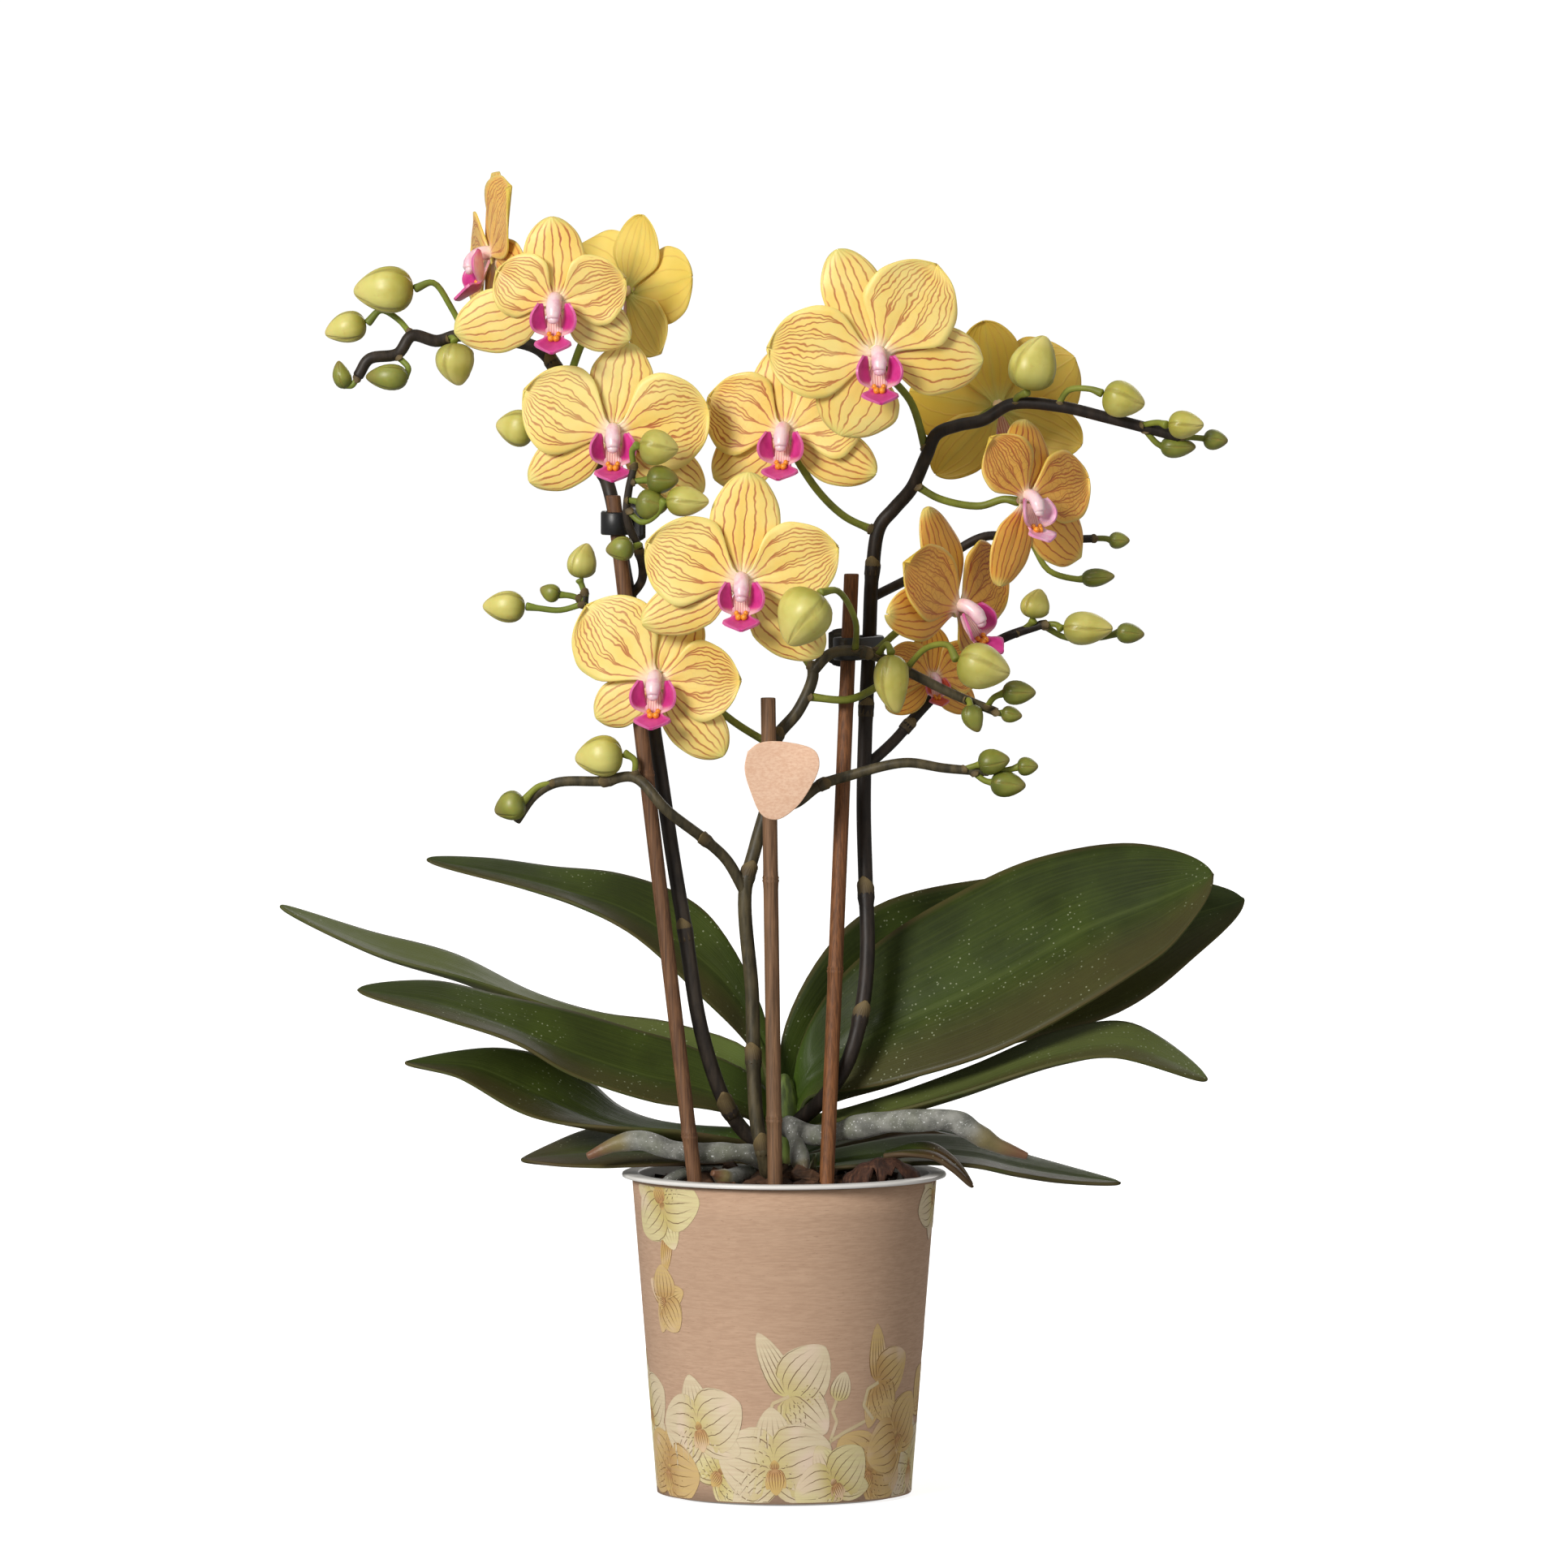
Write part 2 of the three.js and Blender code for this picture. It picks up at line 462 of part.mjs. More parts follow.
function tepalSolid([angle, length, width], lift, place) {
  const turn = (angle * Math.PI) / 180;
  const petal = width > 0.8 * length;
  return bentSlab(4, 1, (along, across, side) => {
    const fullness = 0.24 + 0.76 * Math.sin(Math.PI * Math.min(along, 0.99) ** 0.85) ** 0.7;
    const out = 0.8 + (length - 0.8) * along;
    const off = across * (width / 2) * fullness;
    const rise = lift - 1.6 * along * along + (petal ? 1.2 : -1.0) * across * across * along;
    const spot = new THREE.Vector3(
      out * Math.cos(turn) - off * Math.sin(turn),
      out * Math.sin(turn) + off * Math.cos(turn),
      rise + side * (TEPAL_THICKNESS / 2),
    );
    return spot.applyMatrix4(place);
  });
}

function lipSolid(place) {
  return bentSlab(3, 1, (along, across, side) => {
    const half = 2 + 3.4 * Math.sin(Math.PI * Math.min(along, 0.9));
    const down = -1 - 12 * along;
    const out = 1.5 + 7 * Math.sin(Math.PI * 0.55 * along) + side * 0.6 - across * across * 0.6;
    return new THREE.Vector3(across * half, down, out).applyMatrix4(place);
  });
}

function flowerSolid(flower) {
  const place = flowerPlace(flower);
  const tepals = flower.tepals ?? TEPALS;
  const lifts = [-0.6, 0.9, 0.9, -0.4, -0.4];
  const solids = tepals.map((tepal, i) => tepalSolid(tepal, lifts[i], place));
  const column = new THREE.CylinderGeometry(COLUMN_RADIUS - 0.4, COLUMN_RADIUS, COLUMN_LENGTH, 6);
  column.rotateX(Math.PI / 2).translate(0, -0.6, COLUMN_LENGTH / 2 - COLUMN_BACK);
  solids.push(solidOf(column.applyMatrix4(place)));
  return joined([...solids, lipSolid(place)]);
}

function budSolid({ at, tip, size: [length, width], small }) {
  const ball = new THREE.SphereGeometry(0.5, small ? 5 : 8, small ? 4 : 6);
  const grid = ball.attributes.position;
  for (let i = 0; i < grid.count; i += 1) {
    const along = grid.getY(i);
    const fullness = 1 - 0.35 * along;
    grid.setXYZ(i, grid.getX(i) * width * fullness, along * length, grid.getZ(i) * width * fullness);
  }
  const turn = new THREE.Quaternion().setFromUnitVectors(new THREE.Vector3(0, 1, 0), point(tip).normalize());
  ball.applyQuaternion(turn);
  return solidOf(ball.translate(...at));
}

// ---- spikes ---------------------------------------------------------------------------------------------

// Each spike is its main stem first and then its branches, as [radius, points].
const SPIKES = {
  spike_left: [
    [STEM_RADIUS, [[-4, -6, 100], [-8, -9, 101.5], [-11, -10, 103.5], [-16, -14, 111], [-20, -17, 121],
      [-24, -19, 136], [-28, -19, 162], [-31, -18.5, 180], [-38, -18.5, 226], [-45, -18.5, 263],
      [-47.3, -18.5, 277], [-49, -18, 285], [-53, -10, 296], [-57, -4, 306], [-62, 0, 315],
      [-69, 4, 324], [-80, 5, 327], [-92, 4, 328], [-98, 3, 326.5], [-105, 2, 328],
      [-109, 1, 323], [-117, 0, 321.5], [-120, 0, 317]]],
    [1.3, [[-43.5, -18.5, 255], [-40, -21, 260], [-40.5, -28, 268], [-44, -31.5, 278], [-43.5, -33, 286],
      [-42, -34, 292.5]]],
    [1.3, [[-42, -18.5, 247], [-48, -11, 247], [-53, -8, 250], [-56, -8, 252], [-56, -8, 256]]],
  ],
  spike_middle: [
    [STEM_RADIUS, [[-3, -5, 90], [-4, -12, 90.5], [-5, -18, 94], [-6, -20, 100], [-7.5, -20, 106],
      [-8.5, -19.5, 120], [-9, -18, 143], [-11, -18, 172], [-8, -16, 185], [-4, -15, 200], [-3, -15, 214],
      [4, -14, 223], [8, -14, 232], [8, -14, 236]]],
    [BRANCH_RADIUS, [[-11, -18, 172], [-16, -20, 181], [-22, -24, 187], [-33, -31, 196], [-42, -29, 205],
      [-51, -29, 204], [-64, -29, 203.5], [-70, -29, 200], [-75, -29, 193]]],
    [BRANCH_RADIUS, [[-5, -15.3, 195], [3, -17, 197], [10, -17, 202], [19, -17, 205], [34, -18, 208.5],
      [45, -18, 207], [56, -18, 206]]],
    [BRANCH_RADIUS, [[8, -14, 234], [13, -15, 239], [20, -16, 240], [27, -16, 238], [34, -16, 234.5],
      [48, -16, 227.5], [59, -16, 223]]],
  ],
  spike_right: [
    [STEM_RADIUS, [[4, -3, 106], [11, -9, 113], [18, -14, 124], [22, -13, 139], [23.5, -9, 154],
      [23, -4, 174], [22.5, 2, 195], [23, 4, 218], [24, 4.5, 240], [25, 5, 262], [27, 5, 274],
      [31, 4, 279], [36, 1, 285], [40, -3, 294], [43, -5, 300.5], [49, -6, 303], [56, -6, 304.5],
      [64, -7, 309], [77, -8, 308.5], [92, -8, 305], [111, -8, 300]]],
    [BRANCH_RADIUS, [[23, 3.5, 206], [31, 8, 213], [39, 11, 222], [51, 12, 234], [61, 12, 241.5],
      [73, 11, 246]]],
    [1.4, [[25, 5, 254], [42, 18, 262], [57, 20, 270.5], [70, 19, 269.5], [88, 18, 270]]],
  ],
};

function stalkEnd(flower) {
  const back = new THREE.Vector3(0, -0.6, -COLUMN_BACK - 1.2);
  return back.applyMatrix4(flowerPlace(flower)).toArray();
}

function budBase({ at, tip, size, small }) {
  const back = size[0] / 2 + (small ? -1 : 2 * GAP);
  return point(at).addScaledVector(point(tip).normalize(), -back).toArray();
}

function spikeSolid(name) {
  const stems = SPIKES[name].map(([radius, points], i) => (
    tube(points, radius, Math.round(1.4 * points.length), i === 0 ? 6 : 5)));
  for (const flower of Object.values(FLOWERS).filter(({ spike }) => spike === name)) {
    stems.push(tube([...flower.stalk, stalkEnd(flower)], STALK_RADIUS, 5, 5));
  }
  for (const bud of Object.values(BUDS).filter(({ spike }) => spike === name)) {
    stems.push(tube([...bud.stalk, budBase(bud)], BUD_STALK_RADIUS, 3, 4));
    if (bud.small) stems.push(budSolid(bud));
  }
  return joined(stems);
}

// ---- the whole plant ------------------------------------------------------------------------------------

const orchid = new THREE.Group();

function addPiece(name, solid, color, roughness, metalness = 0) {
  const piece = new THREE.Mesh(geometryOf(solid), new THREE.MeshStandardMaterial({
    color, roughness, metalness,
  }));
  piece.name = name;
  orchid.add(piece);
}

const sticks = Object.values(STICKS);
const stickHoles = sticks.map((ends) => stickSolid(ends, GAP));
addPiece('pot', potSolid(), 0xd8d4cf, 0.4);
addPiece('pot_sleeve', sleeveSolid(), 0xb4957c, 0.8);
addPiece('bark_bed', barkSolid([...stickHoles, crownSolid(GAP)]), 0x3a2a20, 0.95);
addPiece('dried_bark', driedBarkSolid(), 0x5a3426, 0.9);
addPiece('crown', crownSolid(), 0x3d4a20, 0.5);
for (const [name, ends] of Object.entries(STICKS)) addPiece(name, stickSolid(ends), 0x5c4230, 0.75);

const crownHole = crownSolid(GAP);
const spikes = Object.keys(SPIKES).map((name) => [name, carved(spikeSolid(name), [crownHole])]);
for (const [name, solid] of spikes) addPiece(name, solid, 0x3a3326, 0.55);
addPiece('root_left', carved(tube(ROOT_LEFT, ROOT_RADIUS, 12), [crownHole]), 0x9c9f9f, 0.6);
addPiece('root_right', carved(rootRightSolid(), [crownHole]), 0x9c9f9f, 0.6);
addPiece('root_stub', carved(tube(ROOT_STUB, ROOT_STUB_RADIUS, 4), [crownHole]), 0x8a9068, 0.6);
for (const [name, leaf] of Object.entries(LEAVES)) {
  addPiece(name, carved(leafSolid(leaf), [crownHole]), 0x3a4520, 0.4);
}

addPiece('clip_left', clipSolid([-47.2, -24, 276.2], [-47.2, -18.5, 276.2], -1), 0x141414, 0.4);
addPiece('clip_middle', clipSolid([-4.2, -21.7, 207], [-3.5, -15, 207], -1), 0x141414, 0.4);
addPiece('clip_right', clipSolid([18.1, -5.2, 240], [24, 4.5, 240]), 0x141414, 0.4);
addPiece('tag', tagSolid(), 0xecc2a6, 0.8);
for (const [name, flower] of Object.entries(FLOWERS)) addPiece(name, flowerSolid(flower), 0xe8c474, 0.55);
for (const [name, bud] of Object.entries(BUDS)) {
  if (!bud.small) addPiece(name, budSolid(bud), 0xb5ad55, 0.5);
}

export default orchid;
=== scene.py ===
import json
import math

import bpy
import numpy as np
from mathutils import Matrix, Vector

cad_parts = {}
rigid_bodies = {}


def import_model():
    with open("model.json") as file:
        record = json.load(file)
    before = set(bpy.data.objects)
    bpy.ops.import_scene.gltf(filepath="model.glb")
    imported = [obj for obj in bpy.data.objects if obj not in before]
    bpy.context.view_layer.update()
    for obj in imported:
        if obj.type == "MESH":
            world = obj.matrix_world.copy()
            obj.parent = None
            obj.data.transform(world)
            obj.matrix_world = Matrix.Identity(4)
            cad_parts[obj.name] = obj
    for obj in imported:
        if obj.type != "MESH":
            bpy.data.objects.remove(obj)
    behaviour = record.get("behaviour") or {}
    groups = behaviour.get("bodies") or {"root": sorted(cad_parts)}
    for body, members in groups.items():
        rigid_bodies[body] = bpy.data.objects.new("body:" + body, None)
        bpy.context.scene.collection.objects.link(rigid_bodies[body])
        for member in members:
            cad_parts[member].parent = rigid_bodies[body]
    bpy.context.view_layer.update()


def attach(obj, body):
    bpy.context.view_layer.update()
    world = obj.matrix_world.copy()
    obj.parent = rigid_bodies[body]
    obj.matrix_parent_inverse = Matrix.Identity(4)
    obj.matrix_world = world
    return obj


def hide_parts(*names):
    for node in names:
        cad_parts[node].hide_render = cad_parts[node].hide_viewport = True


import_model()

# ---- Studio ---------------------------------------------------------------------------------------------
# The plant stands in a white bowl whose floor turns up into a wall far away on every side, so no horizon
# shows. A large soft light stands at the upper left, and weaker ones at the right, behind and above.

CAMERA_X, CAMERA_DISTANCE, CAMERA_HEIGHT, AIM_HEIGHT = -0.0006, 4.2, 0.46, 0.2014
WARM_WHITE = (1, 0.98, 0.95)


def aimed(thing, place, target):
    thing.location = place
    thing.rotation_euler = (Vector(target) - Vector(place)).to_track_quat("-Z", "Y").to_euler()
    bpy.context.scene.collection.objects.link(thing)
    return thing


def ring_faces(rings, sides, closed=False):
    """The quads between rings of points, each ring with as many sides."""
    steps = rings if closed else rings - 1
    return [(i * sides + k, i * sides + (k + 1) % sides, (i + 1) % rings * sides + (k + 1) % sides,
             (i + 1) % rings * sides + k) for i in range(steps) for k in range(sides)]


def soft_light(name, place, width, watts, tint):
    lamp = bpy.data.lights.new(name, "AREA")
    lamp.shape = "DISK"
    lamp.size = width
    lamp.energy = watts
    lamp.color = tint
    return aimed(bpy.data.objects.new(name, lamp), place, (0, 0, 0.2))


def studio():
    scene = bpy.context.scene
    scene.view_settings.view_transform = "Standard"
    lens = bpy.data.cameras.new("camera")
    lens.sensor_width = 36
    lens.lens = 341.9
    lens.clip_end = 60
    scene.camera = aimed(bpy.data.objects.new("camera", lens), (CAMERA_X, -CAMERA_DISTANCE, CAMERA_HEIGHT),
                         (CAMERA_X, 0, AIM_HEIGHT))

    world = bpy.data.worlds.new("white room")
    world.use_nodes = True
    world.node_tree.nodes["Background"].inputs["Color"].default_value = (1, 0.99, 0.97, 1)
    world.node_tree.nodes["Background"].inputs["Strength"].default_value = 0.32
    scene.world = world
    soft_light("key light", (-1.9, -2.7, 1.5), 1.2, 104, WARM_WHITE)
    soft_light("fill light", (2.4, -2.0, 0.9), 1.6, 6, (1, 0.93, 0.84))
    soft_light("back light", (0.8, 2.4, 1.2), 1.2, 11, WARM_WHITE)
    soft_light("top light", (-0.5, -0.6, 2.6), 1.2, 7, (1, 1, 1))

    profile = [(0, 0), (5, 0), (6, 0.06), (6.6, 0.3), (6.9, 0.8), (7, 1.6), (7, 6)]
    sides = 96
    points = [(r * math.cos(turn), r * math.sin(turn), z) for r, z in profile
              for turn in (2 * math.pi * k / sides for k in range(sides))]
    mesh = bpy.data.meshes.new("backdrop")
    mesh.from_pydata(points, [], ring_faces(len(profile), sides))
    mesh.shade_smooth()
    white = bpy.data.materials.new("backdrop white")
    white.use_nodes = True
    shader = white.node_tree.nodes["Principled BSDF"]
    shader.inputs["Base Color"].default_value = (0.9, 0.9, 0.9, 1)
    shader.inputs["Roughness"].default_value = 1
    shader.inputs["Specular IOR Level"].default_value = 0
    shader.inputs["Emission Color"].default_value = (1, 1, 1, 1)
    shader.inputs["Emission Strength"].default_value = 0.72
    mesh.materials.append(white)
    bowl = bpy.data.objects.new("backdrop", mesh)
    scene.collection.objects.link(bowl)
    bowl.visible_diffuse = False
    bowl.visible_glossy = False
    bowl.visible_transmission = False
    bowl.visible_shadow = False


studio()

# ---- Pot ------------------------------------------------------------------------------------------------
# A thin injection-moulded pot of pale grey plastic with a flat rolled rim. Only the rim and the inside
# show; the rest is behind the card sleeve. Five round drain holes go through its floor.


def paint(colour):
    """A shader's colour from the three values, 0 to 255, of a screen's colour. A socket stays as it is."""
    if isinstance(colour, Value):
        return colour
    parts = [value / 255 for value in colour]
    return tuple(((c + 0.055) / 1.055) ** 2.4 if c > 0.04 else c / 12.92 for c in parts) + (1.0,)


class Value:
    """An output of a shader node that arithmetic can be done with."""

    def __init__(self, nodes, socket):
        self.nodes = nodes
        self.socket = socket

    def math(self, operation, *others, swap=False):
        terms = [self, *others]
        if swap:
            terms.reverse()
        return self.nodes.node("ShaderNodeMath", dict(enumerate(terms)), operation=operation)

    def __add__(self, other):
        return self.math("ADD", other)

    def __sub__(self, other):
        return self.math("SUBTRACT", other)

    def __mul__(self, other):
        return self.math("MULTIPLY", other)

    def __truediv__(self, other):
        return self.math("DIVIDE", other)

    def __radd__(self, other):
        return self.math("ADD", other)

    def __rsub__(self, other):
        return self.math("SUBTRACT", other, swap=True)

    def __abs__(self):
        return self.math("ABSOLUTE")

    def between(self, low, high):
        """0 below low, 1 above high and smooth in between; low may be the greater of the two."""
        inputs = {"Value": self, "From Min": low, "From Max": high}
        return self.nodes.node("ShaderNodeMapRange", inputs, interpolation_type="SMOOTHSTEP")

    def from_whole(self):
        """How far the value is from the nearest whole number."""
        return abs(self - self.math("ROUND"))


class Nodes:
    """A tree of nodes. A node's settings are made before its inputs are filled."""

    def __init__(self, tree):
        self.tree = tree

    def put(self, value, socket):
        if isinstance(value, Value):
            self.tree.links.new(value.socket, socket)
        else:
            socket.default_value = value

    def node(self, kind, inputs=None, output=0, **settings):
        made = self.tree.nodes.new(kind)
        for key, value in settings.items():
            setattr(made, key, value)
        for key, value in (inputs or {}).items():
            self.put(value, made.inputs[key])
        return Value(self, made.outputs[output])


class Finish(Nodes):
    """A material with a Principled shader. Keywords are the shader's fixed values."""

    def __init__(self, name, **fixed):
        self.material = bpy.data.materials.new(name)
        self.material.use_nodes = True
        super().__init__(self.material.node_tree)
        self.shader = self.tree.nodes["Principled BSDF"]
        for key, value in fixed.items():
            self.shader.inputs[key.replace("_", " ").title().replace("Ior", "IOR")].default_value = value

    def place(self, x=1.0, y=1.0, z=1.0):
        """Where a point is on the object, in metres, each way multiplied by its own scale."""
        spot = self.node("ShaderNodeTexCoord", output="Object")
        return self.node("ShaderNodeMapping", {"Vector": spot, "Scale": (x, y, z)})

    def apart(self, vector):
        first = self.node("ShaderNodeSeparateXYZ", {"Vector": vector})
        return [Value(self, output) for output in first.socket.node.outputs]

    def chart(self, name):
        """The two numbers that the mesh keeps at each point under this name."""
        return self.apart(self.node("ShaderNodeUVMap", uv_map=name))[:2]

    def noise(self, scale, detail, roughness=0.55, at=None):
        """Noise over the object, with one scale or one for each way, or over another vector."""
        ways = isinstance(scale, tuple)
        inputs = {"Vector": at or self.place(*(scale if ways else ())), "Scale": 1.0 if ways else scale,
                  "Detail": detail, "Roughness": roughness}
        return self.node("ShaderNodeTexNoise", inputs)

    def mix(self, factor, first, second):
        inputs = {0: factor, 6: paint(first), 7: paint(second)}
        return self.node("ShaderNodeMix", inputs, output=2, data_type="RGBA")

    def ramp(self, factor, *stops):
        """A colour that goes through (place, colour) stops."""
        made = self.node("ShaderNodeValToRGB", {"Fac": factor})
        elements = made.socket.node.color_ramp.elements
        while len(elements) < len(stops):
            elements.new(0.5)
        for element, (spot, colour) in zip(elements, stops):
            element.position = spot
            element.color = paint(colour)
        return made

    def colour(self, value):
        self.put(value, self.shader.inputs["Base Color"])

    def roughness(self, value):
        self.put(value, self.shader.inputs["Roughness"])

    def bump(self, height, millimetres, strength=1.0):
        inputs = {"Height": height, "Strength": strength, "Distance": millimetres * 0.001}
        self.put(self.node("ShaderNodeBump", inputs), self.shader.inputs["Normal"])


class Shape:
    """The faces of one piece, gathered part by part. Points are in millimetres, and each of the charts
    keeps two numbers at every point."""

    def __init__(self, *charts):
        self.points = []
        self.faces = []
        self.slots = []
        self.flat = []
        self.charts = {name: [] for name in charts}
        self.count = 0

    def add(self, points, faces, slot=0, **charts):
        points = np.asarray(points, float).reshape(-1, 3)
        self.points.append(points)
        self.faces += [tuple(int(k) + self.count for k in face) for face in faces]
        self.slots += [slot] * len(faces)
        self.flat += [False] * len(faces)
        for name, kept in self.charts.items():
            pair = charts.get(name, (0.0, 0.0))
            kept.append(np.column_stack([np.broadcast_to(np.asarray(v, float).ravel(), len(points))
                                         for v in pair]))
        self.count += len(points)

    def sheet(self, middle, thickness, front=0, back=0, edge=None, bulge=None, **charts):
        """A thin closed sheet round a grid of points, its rows along it and its columns across it."""
        middle = np.asarray(middle, float)
        rows, columns = middle.shape[:2]
        normal = np.cross(np.gradient(middle, axis=0), np.gradient(middle, axis=1))
        normal /= np.linalg.norm(normal, axis=2, keepdims=True) + 1e-12
        half = np.broadcast_to(np.asarray(thickness, float), (rows, columns))[..., None] / 2
        top = middle + normal * half
        if bulge is not None:
            top = top + normal * bulge[..., None]
        low = middle - normal * half
        size = rows * columns
        at = np.arange(size).reshape(rows, columns)
        quads = np.stack([at[:-1, :-1], at[1:, :-1], at[1:, 1:], at[:-1, 1:]], axis=-1).reshape(-1, 4)
        rim = np.concatenate([at[0, :], at[1:, -1], at[-1, -2::-1], at[-2:0:-1, 0]])
        after = np.roll(rim, -1)
        walls = np.stack([rim, after, after + size, rim + size], axis=-1)
        start = self.count
        both = {name: tuple(np.tile(np.broadcast_to(v, (rows, columns)).ravel(), 2) for v in pair)
                for name, pair in charts.items()}
        self.add(np.concatenate([top.reshape(-1, 3), low.reshape(-1, 3)]), quads, front, **both)
        under = quads[:, ::-1] + size + start
        self.faces += [tuple(int(k) for k in face) for face in under]
        self.slots += [back] * len(under)
        self.flat += [False] * len(under)
        self.faces += [tuple(int(k) for k in face) for face in walls + start]
        self.slots += [back if edge is None else edge] * len(walls)
        self.flat += [True] * len(walls)
        return top, normal

    def turned(self, profile, sides, slot=0):
        """A closed body of revolution; its profile starts and ends on the axis, or closes on itself."""
        turn = 2 * math.pi * np.arange(sides) / sides
        rings, points, total = [], [], 0
        for radius, z in profile:
            count = sides if radius > 1e-6 else 1
            angle = turn[:count]
            points.append(np.column_stack([radius * np.cos(angle), radius * np.sin(angle),
                                           np.full(count, z)]))
            rings.append(np.arange(total, total + count))
            total += count
        if profile[0][0] > 1e-6:
            rings.append(rings[0])
        faces = []
        for low, high in zip(rings, rings[1:]):
            for k in range(sides):
                a, b = low[k % len(low)], low[(k + 1) % len(low)]
                c, d = high[(k + 1) % len(high)], high[k % len(high)]
                corners = [a, b, c, d]
                faces.append([v for n, v in enumerate(corners) if v != corners[n - 1]])
        self.add(np.concatenate(points), faces, slot)

    def take(self, mesh, slot=0, tone=0.0, chart="path"):
        """The faces of another mesh, with the distance along its path kept as the chart's first number."""
        points = np.empty(len(mesh.vertices) * 3)
        mesh.vertices.foreach_get("co", points)
        along = np.empty(len(mesh.vertices))
        mesh.attributes["along"].data.foreach_get("value", along)
        faces = [tuple(face.vertices) for face in mesh.polygons]
        self.add(points.reshape(-1, 3) * 1000, faces, slot, **{chart: (along, np.asarray(tone, float))})

    def piece(self, name, *finishes):
        """The finished object, in metres."""
        mesh = bpy.data.meshes.new(name)
        mesh.from_pydata((np.concatenate(self.points) * 0.001).tolist(), [], self.faces)
        for finish in finishes:
            mesh.materials.append(finish.material)
        mesh.polygons.foreach_set("material_index", self.slots)
        mesh.polygons.foreach_set("use_smooth", [not flat for flat in self.flat])
        corner = np.empty(len(mesh.loops), dtype=np.int32)
        mesh.loops.foreach_get("vertex_index", corner)
        for chart, kept in self.charts.items():
            layer = mesh.uv_layers.new(name=chart)
            layer.data.foreach_set("uv", np.concatenate(kept)[corner].astype(np.float32).ravel())
        mesh.update()
        made = bpy.data.objects.new(name, mesh)
        bpy.context.scene.collection.objects.link(made)
        return made


def evaluated_mesh(thing):
    """A plain mesh of an object with its modifiers applied."""
    shown = thing.evaluated_get(bpy.context.evaluated_depsgraph_get())
    return bpy.data.meshes.new_from_object(shown)


def kept(piece, slot, *nodes):
    """Ties a piece to the row's only body and hides the nodes that it stands for."""
    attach(piece, "root")
    if nodes:
        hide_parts(*nodes)
    return piece


POT_HEIGHT = 91.5
DRAIN_HOLES, HOLE_RADIUS, HOLE_RING, HOLE_SIDES = 5, 3, 20, 24
POT_BASE, POT_MOUTH, POT_WALL = 35.0, 42.3, 1.2
RIM_RADIUS, RIM_THICKNESS = 45.9, 1.2


def pot_radius(z):
    return POT_BASE + (POT_MOUTH - POT_BASE) * z / POT_HEIGHT


def build_pot():
    plastic = Finish("pot plastic", roughness=0.38, ior=1.5, coat_weight=0.15, coat_roughness=0.25)
    grain = plastic.noise(900, 4)
    shade = plastic.noise(35, 2)
    plastic.colour(plastic.mix(shade.between(0.3, 0.75), (226, 223, 219), (236, 234, 230)))
    plastic.roughness(0.34 + grain * 0.12)
    plastic.bump(grain, 0.03, 0.4)

    lip = POT_HEIGHT - RIM_THICKNESS
    inner = pot_radius(lip) - POT_WALL
    shape = Shape()
    shape.turned([
        (0, 0.6), (22, 0.6), (23, 0), (POT_BASE - 2.6, 0), (POT_BASE - 0.9, 0.5), (pot_radius(2), 2),
        (pot_radius(lip) - 0.2, lip - 1), (pot_radius(lip) + 0.2, lip - 0.1), (RIM_RADIUS - 0.5, lip),
        (RIM_RADIUS - 0.1, lip + 0.15), (RIM_RADIUS, lip + 0.6), (RIM_RADIUS - 0.15, POT_HEIGHT - 0.2),
        (RIM_RADIUS - 0.6, POT_HEIGHT), (inner + 0.5, POT_HEIGHT), (inner + 0.1, POT_HEIGHT - 0.15),
        (inner, POT_HEIGHT - 0.6), (pot_radius(3) - POT_WALL, 3), (POT_BASE - 4, 1.8), (0, 1.8),
    ], 160)
    pot = shape.piece("pot_shell", plastic)
    holes = Shape()
    for k in range(DRAIN_HOLES):
        turn = 2 * math.pi * k / DRAIN_HOLES
        x, y = HOLE_RING * math.cos(turn), HOLE_RING * math.sin(turn)
        around = 2 * math.pi * np.arange(HOLE_SIDES) / HOLE_SIDES
        points = [(HOLE_RADIUS * math.cos(a) + x, HOLE_RADIUS * math.sin(a) + y, z)
                  for z in (-3, 5) for a in around]
        ends = [tuple(range(HOLE_SIDES))[::-1], tuple(range(HOLE_SIDES, 2 * HOLE_SIDES))]
        holes.add(points, ring_faces(2, HOLE_SIDES) + ends)
    cutter = holes.piece("drain cutter", plastic)
    boolean = pot.modifiers.new("drain holes", "BOOLEAN")
    boolean.operation = "DIFFERENCE"
    boolean.object = cutter
    bored = evaluated_mesh(pot)
    pot.modifiers.clear()
    pot.data = bored
    bpy.data.objects.remove(cutter)
    kept(pot, "pot", "pot")


build_pot()

# ---- Sleeve ---------------------------------------------------------------------------------------------
# A cone of thin kraft card slid up under the rim, with pale orchid blossoms printed round its foot and
# beside its mouth. The print is ink: a film of a few hundredths of a millimetre on the card.

SLEEVE_GAP, SLEEVE_WALL = 0.35, 0.5
# The ink's thickness, its middle's height over the card, and how much higher each layer lies.
INK_FILM, INK_LIFT, INK_STEP = 0.02, 0.03, 0.004


def sleeve_radius(z):
    return pot_radius(max(z, 2.0)) + SLEEVE_GAP + SLEEVE_WALL


